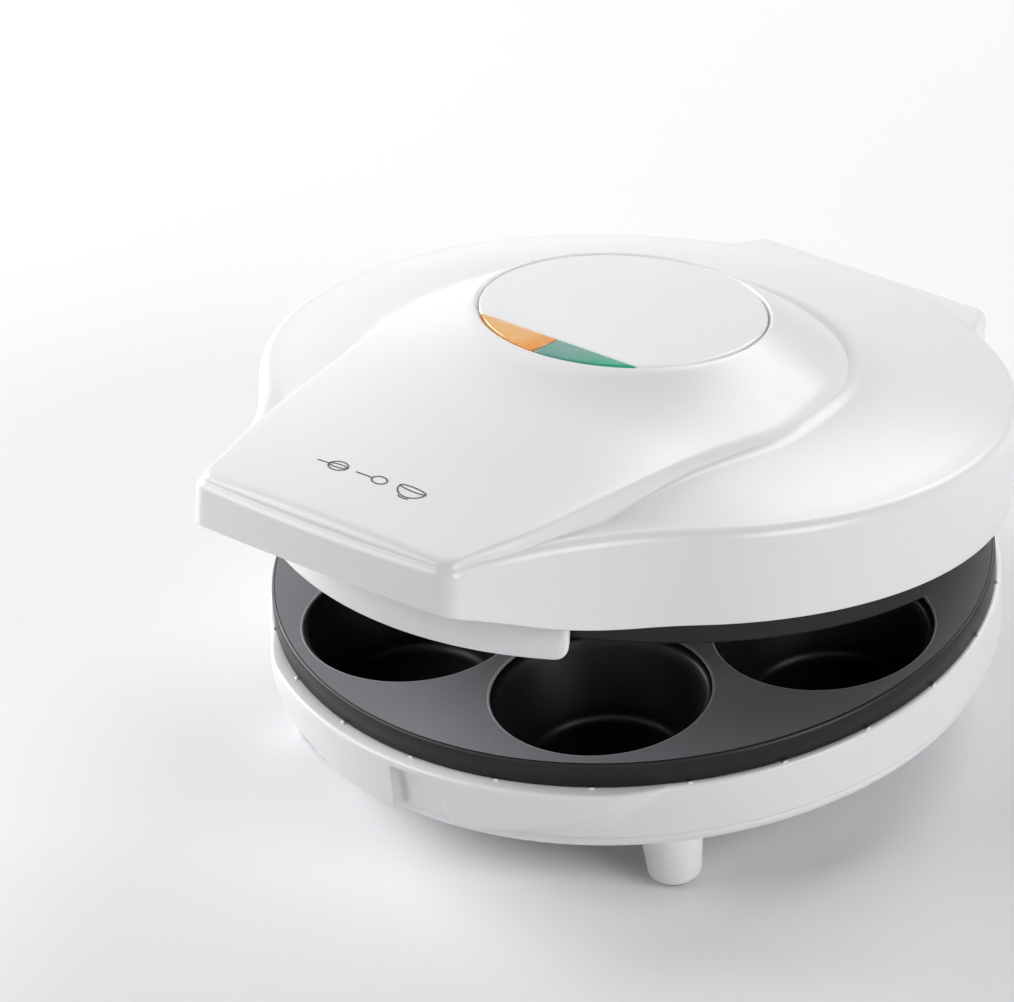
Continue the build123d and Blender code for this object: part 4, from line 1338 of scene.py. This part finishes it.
@dataclass
class HandleUnderside:
    """Cover that closes the handle from below, and the apron that hangs from it over the seam."""

    bench: Bench
    shell: LidShell
    plan: LidPlan = field(default_factory=LidPlan)
    radius: float = 114.4
    wall: float = 2.2
    half_angle: float = 28.2
    drop: float = 6.2
    end_rise: float = 2.3
    corner: float = 4.0
    edge_round: float = 0.7
    end_round: float = 1.6
    draft: float = 0.4
    plate_inset: float = 2.8
    plate_inner: float = 109.9
    plate_wall: float = 2.2
    plate_steps: int = 25
    corner_rows: int = 9
    middle_rows: int = 91
    edge_rows: int = 4

    def lower_edge(self, angle: float) -> float:
        """Gives the height of the apron's lower edge, which rises to its ends and turns up there.

        Args:
            angle: angle from the front, in degrees.

        Returns:
            Height above the seam.
        """
        share = abs(angle) / self.half_angle
        left = math.radians(self.half_angle - abs(angle)) * self.radius
        near = max(self.corner - left, 0)
        upturn = self.corner - math.sqrt(max(self.corner ** 2 - near ** 2, 0))
        return -self.drop + self.end_rise * share ** 2 + upturn

    def section(self, angle: float) -> np.ndarray:
        """Gives the apron's upright section at one angle, from its skin's top round to its back's.

        Args:
            angle: angle from the front, in degrees.

        Returns:
            Rows of x, y and z.
        """
        low = self.lower_edge(angle)
        left = math.radians(self.half_angle - abs(angle)) * self.radius
        bent = max(1 - left / (2 * self.end_round), 0)
        skin = self.radius - self.end_round * (1 - math.sqrt(max(1 - bent ** 2, 0)))
        back = self.radius - self.wall
        outward = around(angle, 1)
        forward = np.array((-outward[1] * self.radius,))
        top = self.shell.hem_height(forward)[0] + self.plate_wall / 2
        edge = rounded(self.edge_round, self.edge_rows)
        corners = [(skin, top)]
        corners += [(skin - self.draft - inset * (1 - bent), low + drop) for inset, drop in edge]
        corners += [(back + inset, low + drop) for inset, drop in edge[::-1]]
        corners.append((back, top))
        return np.array([(*(outward * reach), height) for reach, height in corners])

    def build_apron(self) -> None:
        """Makes the apron from its sections, which stand closer at its turned-up ends."""
        corner = np.degrees(self.corner / self.radius)
        ends = self.half_angle - corner * (1 - np.cos(quarter(self.corner_rows)))
        middle = np.linspace(-ends[-1], ends[-1], self.middle_rows)[1:-1]
        angles = np.concatenate((-ends, middle, ends[::-1]))
        points, faces = capped([self.section(angle) for angle in angles])
        self.bench.piece("handle_apron", Body.LID, "white_plastic", points, faces,
                         replaces=("handle_lower_cover",))

    def build_plate(self) -> None:
        """Makes the plate that closes the handle, from one row of points for each outline point."""
        edge = self.plan.outline(self.plate_inset)
        used = edge[(edge[:, 1] < 0) & (np.hypot(*edge.T) > self.plate_inner)]
        turns = np.arctan2(used[:, 0], -used[:, 1])
        order = np.argsort(turns)
        rings = []
        for turn, outer in zip(np.degrees(turns[order]), used[order]):
            inner = around(turn, self.plate_inner)
            plan = inner + (outer - inner) * np.linspace(0, 1, self.plate_steps)[:, None]
            low = self.shell.hem_height(-plan[:, 1])
            rings.append(np.vstack((at_height(plan, low), at_height(plan, low + self.plate_wall)[::-1])))
        points, faces = capped(rings)
        self.bench.piece("handle_closing_plate", Body.LID, "white_plastic", points, faces,
                         replaces=("handle_lower_cover",), flat=True)

    def build(self) -> None:
        """Makes the apron and the plate."""
        self.build_apron()
        self.build_plate()


@dataclass
class BaseWall:
    """Wall of the base: the ledge round the plate, the chin under the handle and its finger recess."""

    bench: Bench
    ledge_inner: float = 106.2
    ledge_thickness: float = 3.0
    top_radius: float = 109.6
    foot_radius: float = 108.8
    wall: float = 2.5
    top: float = -8.0
    foot: float = -25.0
    edge_round: float = 1.3
    ledge_break: float = 0.2
    chin_radius: float = 112.5
    chin_start: float = 33.0
    chin_end: float = 48.0
    chin_run: float = 31.0
    chin_turn: float = 1.5
    recess_left: float = -1.3
    recess_top: float = -10.3
    recess_heights: tuple[float, ...] = (-25.0, -22.3, -14.6, -10.8, -9.8)
    recess_angles: tuple[float, ...] = (8.3, 8.0, 6.7, 3.8, 0.5)
    recess_left_fade: float = 0.5
    recess_right_fade: float = 1.5
    recess_top_fade: float = 0.9
    ear: HingeLeaf = HingeLeaf(radius=8.0, inner=23.4, width=9.0, bevel=1.0)
    ear_root: float = 107.2
    ear_top: float = -9.5
    ear_foot: float = -23.0
    fine_angle: float = 60.0
    fine_step: float = 0.25
    coarse_step: float = 1.0
    edge_rows: int = 6
    wall_rows: int = 36

    def plain(self, height: np.ndarray) -> np.ndarray:
        """Gives the radius of the round wall at a height."""
        share = (self.top - height) / (self.top - self.foot)
        return self.top_radius + (self.foot_radius - self.top_radius) * share

    def radius(self, angle: np.ndarray, height: float) -> np.ndarray:
        """Gives how far the wall stands out, chin and recess included.

        Args:
            angle: angles from the front, in degrees.
            height: height above the seam.

        Returns:
            The radius at each angle.
        """
        wall = self.plain(np.full(len(angle), height))
        fade = eased((np.abs(angle) - self.chin_start) / (self.chin_end - self.chin_start))
        out = self.chin_radius + (self.foot_radius - self.chin_radius) * fade
        forward = out * np.cos(np.radians(np.clip(angle, -90, 90)))
        low = self.foot + (self.top - self.foot) * (self.chin_radius - forward) / self.chin_run
        share = eased((height - low + self.chin_turn) / self.chin_turn)
        right = np.interp(height, self.recess_heights, self.recess_angles)
        sides = (soft_edge(angle - self.recess_left, self.recess_left_fade) *
                 soft_edge(right - angle, self.recess_right_fade))
        sunk = sides * eased((self.recess_top - height) / self.recess_top_fade)
        return wall + np.maximum(out - wall, 0) * share * (1 - sunk)

    def build(self) -> None:
        """Makes the wall and the hinge ears."""
        angle = np.concatenate((
            np.arange(-self.fine_angle, self.fine_angle, self.fine_step),
            np.arange(self.fine_angle, 360 - self.fine_angle, self.coarse_step)))
        heading = (angle + 180) % 360 - 180
        rows = []

        def add_row(radius: np.ndarray | float, height: float) -> None:
            """Keeps one ring of the wall."""
            rows.append(at_height(on_arc(np.radians(angle), radius), height))

        ledge_low = self.top - self.ledge_thickness
        add_row(self.ledge_inner, ledge_low)
        add_row(self.ledge_inner, self.top - self.ledge_break)
        add_row(self.ledge_inner + self.ledge_break, self.top)
        for drop, inset in rounded(self.edge_round, self.edge_rows):
            add_row(self.radius(heading, self.top - drop) - inset, self.top - drop)
        for height in np.linspace(self.top - self.edge_round, self.foot, self.wall_rows)[1:]:
            add_row(self.radius(heading, height), height)
        add_row(self.foot_radius - self.wall, self.foot)
        add_row(self.top_radius - self.wall, ledge_low)
        self.bench.piece("base_wall", Body.BASE, "white_plastic", np.vstack(rows),
                         ring_faces(len(rows), len(angle), closed=True), replaces=("base_housing",))
        root = ((self.ear_root, self.ear_top), (self.ear_root, self.ear_foot))
        self.bench.hinge_pair("hinge_ear", Body.BASE, self.ear, root, "base_housing")


@dataclass
class CupPlate:
    """Lower cast plate: a flat deck, six cups round a seventh, and the wall that rests on the base."""

    bench: Bench
    radius: float = 108.0
    deck_round: float = 1.0
    deck_rows: int = 6
    depth: float = 8.0
    foot_break: float = 0.4
    spigot_radius: float = 105.8
    spigot_end: float = 12.0
    ring_radius: float = 70.5
    ring_count: int = 6
    ring_first: float = 30.0
    mouth: float = 32.3
    lip_round: float = 0.8
    lip_turn: float = 62.0
    lip_rings: int = 6
    flare_width: float = 1.7
    flare_depth: float = 2.6
    flare_blend: float = 0.35
    flare_rise: float = 0.5
    floor: float = 23.0
    cup_depth: float = 27.0
    floor_round: float = 3.6
    wall_rings: int = 9
    floor_rings: int = 9
    wall: float = 1.8
    around_cup: int = 120
    around_plate: int = 288

    def cup_centres(self) -> list[np.ndarray]:
        """Gives the middle of each cup, the one in the middle first."""
        turns = self.ring_first + 360 / self.ring_count * np.arange(self.ring_count)
        return [np.zeros(2)] + [around(turn, self.ring_radius) for turn in turns]

    def cup_profile(self) -> list[tuple[float, float]]:
        """Gives the shape of a cup, from its lip to its floor.

        Returns:
            Radius and height of each ring.
        """
        rim = self.mouth + self.lip_round
        rings = [(rim - self.lip_round * math.sin(turn), -self.lip_round * (1 - math.cos(turn)))
                 for turn in np.linspace(0, math.radians(self.lip_turn), self.lip_rings)]
        throat = self.mouth - self.flare_width
        rings.append((throat + self.flare_blend, self.flare_rise - self.flare_depth))
        rings.append((throat, -self.flare_depth))
        lean = (throat - self.floor) / (self.cup_depth - self.flare_depth)
        for share in np.linspace(0, 1, self.wall_rings)[1:]:
            run = (self.cup_depth - self.floor_round - self.flare_depth) * share
            rings.append((throat - lean * run, -self.flare_depth - run))
        foot, level = rings[-1]
        rings += [(foot - self.floor_round * (1 - math.cos(turn)), level - self.floor_round * math.sin(turn))
                  for turn in quarter(self.floor_rings)[1:]]
        rings.append((0.0, -self.cup_depth))
        return rings

    def round_each_cup(self, name: str, rings: list, finish: NonStickCoating) -> bpy.types.Object:
        """Turns one run of rings round the middle of every cup, as one piece.

        Args:
            name: name of the piece.
            rings: radius and height of each ring.
            finish: its coat.

        Returns:
            The piece.
        """
        points, faces = [], []
        for centre in self.cup_centres():
            cup, cup_faces = spun(rings, self.around_cup)
            cup[:, :2] += centre
            start = sum(len(part) for part in points)
            points.append(cup)
            faces += [tuple(start + corner for corner in face) for face in cup_faces]
        return self.bench.piece(name, Body.BASE, "nonstick_plate", np.vstack(points), faces,
                                replaces=("lower_baking_plate",), upward=True, finish=finish)

    def build(self) -> None:
        """Makes the deck with its outer wall, and the cups."""
        outer = circle_points((0.0, 0.0), self.radius - self.deck_round, self.around_plate)
        loops = [outer] + [circle_points(centre, self.mouth + self.lip_round, self.around_cup)
                           for centre in self.cup_centres()]
        points, faces = pierced(loops)
        # The deck takes the coat drawn grey as painted light and sheen.
        deck = self.bench.piece("lower_plate_deck", Body.BASE, "nonstick_plate", points, faces,
                                replaces=("lower_baking_plate",), upward=True, flat=True, finish=LIGHT_PAINTED_DECK_COAT)
        inner = self.spigot_radius - self.wall
        profile = [(self.radius - inset, -drop) for drop, inset in rounded(self.deck_round, self.deck_rows)]
        profile += [(self.radius, self.foot_break - self.depth), (self.radius - self.foot_break, -self.depth),
                    (self.spigot_radius, -self.depth), (self.spigot_radius, -self.spigot_end),
                    (inner, -self.spigot_end), (inner, -self.wall)]
        points, faces = spun(profile, self.around_plate, closed=True)
        self.bench.piece("lower_plate_rim", Body.BASE, "nonstick_plate", points, faces,
                         replaces=("lower_baking_plate",))
        rings = self.cup_profile()
        # The lips take the coat drawn pale as a painted highlight.
        lips = self.round_each_cup("lower_plate_lips", rings[:self.lip_rings], HIGHLIGHT_PAINTED_LIP_COAT)
        cups = self.round_each_cup("lower_plate_cups", rings[self.lip_rings - 1:], BLACK_NON_STICK)
        for piece in (deck, lips, cups):
            thicken(piece, self.wall)


@dataclass(frozen=True)
class Oval:
    """Oval stroke of a picture, or a part of one, about the picture's middle."""

    x: float
    y: float
    wide: float
    high: float
    start: float = 0.0
    end: float = 360.0
    count: int = 41

    def path(self) -> list[tuple[float, float]]:
        """Gives its points in order."""
        return [(self.x + self.wide * math.cos(turn), self.y + self.high * math.sin(turn))
                for turn in np.radians(np.linspace(self.start, self.end, self.count))]


@dataclass(frozen=True)
class Stem:
    """Straight stroke along a picture's middle line."""

    start: float
    end: float

    def path(self) -> list[tuple[float, float]]:
        """Gives its two ends."""
        return [(self.start, 0.0), (self.end, 0.0)]


@dataclass
class HandleMarks:
    """Printed line pictures on the handle: a whisk, a spoon and a mixing bowl in a straight row."""

    bench: Bench
    shell: LidShell
    row: float = 125.0
    spacing: float = 14.0
    line: float = 0.42
    lift: float = 0.12
    step: float = 0.4
    whisk: tuple[Oval | Stem, ...] = (
        Oval(x=2.0, y=0.0, wide=3.2, high=0.8), Oval(x=2.0, y=0.0, wide=3.2, high=2.2),
        Stem(start=-1.2, end=-5.6))
    spoon: tuple[Oval | Stem, ...] = (
        Oval(x=3.0, y=0.0, wide=2.5, high=1.8), Stem(start=0.5, end=-5.6))
    bowl: tuple[Oval | Stem, ...] = (
        Oval(x=0.0, y=1.6, wide=4.6, high=0.9),
        Oval(x=0.0, y=1.6, wide=4.6, high=4.2, start=180.0),
        Oval(x=0.0, y=-2.9, wide=1.8, high=0.5, start=180.0))

    def strokes(self) -> list[np.ndarray]:
        """Gives the middle line of each stroke.

        Returns:
            Rows of x and y for each.
        """
        pictures = ((-self.spacing, self.whisk), (0.0, self.spoon), (self.spacing, self.bowl))
        return [np.array(stroke.path()) + (place, -self.row)
                for place, picture in pictures for stroke in picture]

    def build(self) -> None:
        """Lays each stroke on the crowned top as a thin film of ink."""
        points, faces = [], []
        for path in self.strokes():
            fine = refined(path, self.step)
            along = unit_rows(np.gradient(fine, axis=0))
            aside = np.column_stack((-along[:, 1], along[:, 0])) * self.line / 2
            start = len(points)
            for side in (fine + aside, fine - aside):
                points.extend(at_height(side, self.shell.raised(side) + self.lift))
            count = len(fine)
            faces += [(start + k, start + k + 1, start + count + k + 1, start + count + k)
                      for k in range(count - 1)]
        self.bench.piece("handle_line_marks", Body.LID, "white_plastic", np.array(points), faces,
                         upward=True, flat=True, finish=PRINTED_INK)


@dataclass
class LedgeNibs:
    """Ring of tiny moulded nibs that centre the plate on the ledge."""

    bench: Bench
    count: int = 24
    radius: float = 108.5
    first: float = 1.0
    level: float = -7.9
    long: float = 0.9
    wide: float = 0.5
    high: float = 0.4

    def tree(self) -> bpy.types.NodeTree:
        """Builds the node tree that sets the nibs round a circle.

        Returns:
            The tree.
        """
        tree = node_group("ledge_nibs", {"Count": "Int", "Radius": "Float", "Level": "Float",
                                         "First": "Float", "Nib Size": "Vector", "Finish": "Material"})
        given = add_node(tree, "NodeGroupInput").outputs
        circle = add_node(tree, "GeometryNodeMeshCircle", {
            "Vertices": given["Count"], "Radius": given["Radius"]})
        nib = add_node(tree, "GeometryNodeMeshUVSphere", {"Segments": 12, "Rings": 6, "Radius": 1.0})
        where = add_node(tree, "GeometryNodeInputPosition")
        facing = add_node(tree, "FunctionNodeAlignRotationToVector", {"Vector": where.outputs[0]}, axis="X")
        placed = add_node(tree, "GeometryNodeInstanceOnPoints", {
            "Points": circle.outputs["Mesh"], "Instance": nib.outputs["Mesh"],
            "Rotation": facing.outputs[0], "Scale": given["Nib Size"]})
        offset = add_node(tree, "ShaderNodeCombineXYZ", {"Z": given["Level"]})
        spin = add_node(tree, "ShaderNodeCombineXYZ", {"Z": given["First"]})
        moved = add_node(tree, "GeometryNodeTransform", {
            "Geometry": placed.outputs[0], "Translation": offset.outputs[0], "Rotation": spin.outputs[0]})
        return close_group(tree, moved.outputs[0], given["Finish"])

    def build(self) -> None:
        """Grows the nibs and hangs them on the base."""
        stance = self.bench.stance
        finish = self.bench.workshop.material("white_plastic")
        data = grown("ledge_nibs", self.tree(), {
            "Count": self.count, "Radius": self.radius * MM, "Level": (self.level + stance.seam) * MM,
            "First": math.radians(self.first), "Nib Size": [self.wide * MM, self.long * MM, self.high * MM],
            "Finish": finish})
        data.transform(Matrix.Translation((0, stance.setback * MM, 0)))
        self.bench.hang("ledge_nibs", Body.BASE, "white_plastic", data, ("base_housing",))


@dataclass
class CoverScrews:
    """Pan-head screws with a cross recess, under the base and under the handle."""

    bench: Bench
    head: float = 3.0
    high: float = 1.6
    cross: float = 1.75
    slot: float = 0.42
    sink: float = 0.9
    shank: float = 1.5
    length: float = 7.0
    brim_share: float = 0.55
    slot_fade: float = 0.15
    cross_fade: float = 0.3
    tip: float = 0.1
    turns: int = 48
    rings: int = 15
    base_reach: float = 100.0
    front_angles: tuple[float, float] = (345.0, 15.0)
    rear_angles: tuple[float, float] = (225.0, 135.0)
    base_level: float = -29.0
    handle_x: float = 34.0
    handle_reach: float = 129.0
    slope_start: float = 104.0
    slope_low: float = 8.0
    slope: float = 18.8178

    def screw(self) -> bpy.types.Object:
        """Makes the one screw that the tree repeats, head down at the origin.

        Returns:
            The screw.
        """
        unit = circle_points((0.0, 0.0), 1.0, self.turns)
        rows = [at_height(unit * reach, height) for reach, height in (
            (self.shank, self.length), (self.shank, 0.0), (self.head, 0.0))]
        for reach in np.append(np.linspace(self.head, self.tip, self.rings), 0.0):
            plan = unit * reach
            crown = math.sqrt(max(1 - (reach / self.head) ** 2, 0))
            dome = self.high * (self.brim_share + (1 - self.brim_share) * crown)
            narrow = np.abs(plan).min(axis=1)
            inside = soft_edge(self.slot - narrow, self.slot_fade)
            inside *= soft_edge(self.cross - reach, self.cross_fade)
            rows.append(at_height(plan, self.sink * inside - dome))
        data = bpy.data.meshes.new("pan_head_screw")
        faces = ring_faces(len(rows), self.turns)
        faces.append(tuple(range(self.turns)))
        data.from_pydata([tuple(point * MM) for point in np.vstack(rows)], [], faces)
        tidy_mesh(data)
        return bpy.data.objects.new("pan_head_screw", data)

    def tree(self) -> bpy.types.NodeTree:
        """Builds the node tree that stands one screw at each end of a line.

        Returns:
            The tree.
        """
        tree = node_group("cover_screws", {"Screw": "Object", "First": "Vector", "Second": "Vector",
                                           "Tilt": "Float", "Finish": "Material"})
        given = add_node(tree, "NodeGroupInput").outputs
        line = add_node(tree, "GeometryNodeMeshLine", {
            "Count": 2, "Start Location": given["First"], "Offset": given["Second"]}, mode="END_POINTS")
        pick = add_node(tree, "GeometryNodeObjectInfo", {"Object": given["Screw"]})
        lean = add_node(tree, "ShaderNodeCombineXYZ", {"X": given["Tilt"]})
        placed = add_node(tree, "GeometryNodeInstanceOnPoints", {
            "Points": line.outputs["Mesh"], "Instance": pick.outputs["Geometry"],
            "Rotation": lean.outputs[0]})
        return close_group(tree, placed.outputs[0], given["Finish"])

    def build(self) -> None:
        """Grows the pairs of screws and hangs them on their bodies."""
        screw, tree = self.screw(), self.tree()
        stance = self.bench.stance

        def grow(name: str, body: Body, spots: np.ndarray, tilt: float, replaces: str) -> None:
            """Stands the screw at two places and hangs the pair on a body.

            Args:
                name: name of the pair.
                body: body that carries it.
                spots: the two places, in the row frame.
                tilt: how far the screws lean, in radians.
                replaces: CAD node that the pair stands for.
            """
            data = grown(name, tree, {
                "Screw": screw, "First": list(spots[0]), "Second": list(spots[1]), "Tilt": tilt,
                "Finish": self.bench.workshop.material("screw_steel")})
            self.bench.hang(name, body, "screw_steel", data, (replaces,))

        for name, pair in (("front", self.front_angles), ("rear", self.rear_angles)):
            spots = np.array([(*around(angle, self.base_reach), self.base_level) for angle in pair])
            grow(f"{name}_cover_screws", Body.BASE, stance.base(spots), 0.0, "cover_screws")
        run = self.handle_reach - self.slope_start
        height = self.slope_low + run * math.tan(math.radians(self.slope))
        spots = np.array([(side * self.handle_x, -self.handle_reach, height) for side in (-1, 1)])
        tilt = -math.radians(self.slope + stance.opening)
        grow("handle_screws", Body.LID, stance.lid(spots), tilt, "handle_cover_screws")


def bearing(angle: float, rise: float) -> Vector:
    """Gives the direction at an angle from the front to the right and a rise, both in degrees."""
    turn, lift = math.radians(angle), math.radians(rise)
    return Vector((math.sin(turn) * math.cos(lift), -math.cos(turn) * math.cos(lift), math.sin(lift)))


@dataclass(frozen=True)
class Softbox:
    """Round lamp behind white cloth, placed by its angle from the front to the right and its rise."""

    name: str
    angle: float
    rise: float
    power: float


@dataclass
class Studio:
    """Pale floor, white surround, soft lamps and the camera of the photograph."""

    azimuth: float = 41.1044
    elevation: float = 32.5707
    roll: float = -5.1189
    distance: float = 2127.73
    target: tuple[float, float, float] = (-51.285, 11.517, 48.3)
    lens: float = 249.694
    sensor: float = 36.0
    floor_reach: float = 3000.0
    floor_colour: str = "#F1F0F2"
    floor_roughness: float = 0.8
    white: str = "#FFFFFF"
    cloth_glow: float = 0.02
    cloth_shown: float = 1.0
    softbox_width: float = 1100.0
    softbox_reach: float = 1850.0
    aim_height: float = 60.0
    softboxes: tuple[Softbox, ...] = (
        Softbox("left_low_softbox", angle=270.0, rise=21.0, power=29.0),
        Softbox("left_front_softbox", angle=315.0, rise=36.0, power=15.0),
        Softbox("right_low_softbox", angle=90.0, rise=21.0, power=18.5),
        Softbox("back_softbox", angle=180.0, rise=36.0, power=15.0))

    def build(self) -> None:
        """Sets up the view, the floor and the lamps."""
        self.place_camera()
        self.lay_floor()
        self.hang_lamps()
        self.fill_world()
        bpy.context.scene.view_settings.view_transform = "Standard"

    def place_camera(self) -> None:
        """Stands the camera where the photograph was taken from."""
        roll = math.radians(self.roll)
        back = bearing(self.azimuth, self.elevation)
        level = (-back).cross(Vector((0, 0, 1))).normalized()
        up = level.cross(-back)
        right = level * math.cos(roll) + up * math.sin(roll)
        top = -level * math.sin(roll) + up * math.cos(roll)
        basis = Matrix((right, top, back)).transposed().to_4x4()
        basis.translation = (Vector(self.target) + back * self.distance) * MM
        data = bpy.data.cameras.new("camera")
        data.lens = self.lens
        data.sensor_width = self.sensor
        data.sensor_fit = "HORIZONTAL"
        data.clip_end = 2 * self.floor_reach * MM
        camera = bpy.data.objects.new("camera", data)
        camera.matrix_world = basis
        bpy.context.scene.collection.objects.link(camera)
        bpy.context.scene.camera = camera

    def lay_floor(self) -> None:
        """Lays the pale floor, which shows white round the object and keeps its shadow."""
        reach = self.floor_reach * MM
        data = bpy.data.meshes.new("floor")
        data.from_pydata([(-reach, -reach, 0), (reach, -reach, 0), (reach, reach, 0), (-reach, reach, 0)],
                         [], [(0, 1, 2, 3)])
        floor = bpy.data.objects.new("floor", data)
        bpy.context.scene.collection.objects.link(floor)
        material, tree = new_material("paper_sweep")
        shader = add_node(tree, "ShaderNodeBsdfPrincipled", {
            "Base Color": linear(self.floor_colour), "Roughness": self.floor_roughness})
        add_node(tree, "ShaderNodeOutputMaterial", {"Surface": shader.outputs["BSDF"]})
        data.materials.append(material)

    def hang_lamps(self) -> None:
        """Hangs the round softboxes about the object, each turned to its middle."""
        middle = Vector((0.0, 0.0, self.aim_height))
        for softbox in self.softboxes:
            lamp = bpy.data.lights.new(softbox.name, "AREA")
            lamp.shape = "DISK"
            lamp.size = self.softbox_width * MM
            lamp.energy = softbox.power
            lamp.color = linear(self.white)[:3]
            out = bearing(softbox.angle, softbox.rise)
            light = bpy.data.objects.new(softbox.name, lamp)
            light.location = (middle + out * self.softbox_reach) * MM
            light.rotation_euler = (-out).to_track_quat("-Z", "Y").to_euler()
            bpy.context.scene.collection.objects.link(light)

    def fill_world(self) -> None:
        """Surrounds the set with cloth that the camera and reflections see white.

        It sheds next to no light itself, so the shadows stay as the lamps draw them.
        """
        world = bpy.data.worlds.new("surround")
        world.use_nodes = True
        tree = world.node_tree
        tree.nodes.clear()
        rays = add_node(tree, "ShaderNodeLightPath")
        sharp = add_node(tree, "ShaderNodeMath", {
            0: rays.outputs["Is Glossy Ray"], 1: rays.outputs["Is Transmission Ray"]}, operation="MAXIMUM")
        seen = add_node(tree, "ShaderNodeMath", {
            0: rays.outputs["Is Camera Ray"], 1: sharp.outputs[0]}, operation="MAXIMUM")
        cloth, shown = (
            add_node(tree, "ShaderNodeBackground", {"Color": linear(self.white), "Strength": strength})
            for strength in (self.cloth_glow, self.cloth_shown))
        mixed = add_node(tree, "ShaderNodeMixShader", {
            0: seen.outputs[0], 1: cloth.outputs[0], 2: shown.outputs[0]})
        add_node(tree, "ShaderNodeOutputWorld", {"Surface": mixed.outputs[0]})
        bpy.context.scene.world = world


def main() -> None:
    """Builds the stage and every sub-assembly in order."""
    logging.basicConfig(level=logging.INFO, format="%(name)s: %(message)s")
    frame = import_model()
    workshop = Workshop(frame)
    Studio().build()
    workshop.dress_frame()
    bench = Bench(workshop)
    shell = LidShell(bench)
    parts = (
        shell, LidBack(bench), Badge(bench), HandleUnderside(bench, shell), HandleMarks(bench, shell),
        BaseWall(bench), CupPlate(bench), LedgeNibs(bench), CoverScrews(bench))
    for part in parts:
        part.build()


if __name__ == "__main__":
    main()
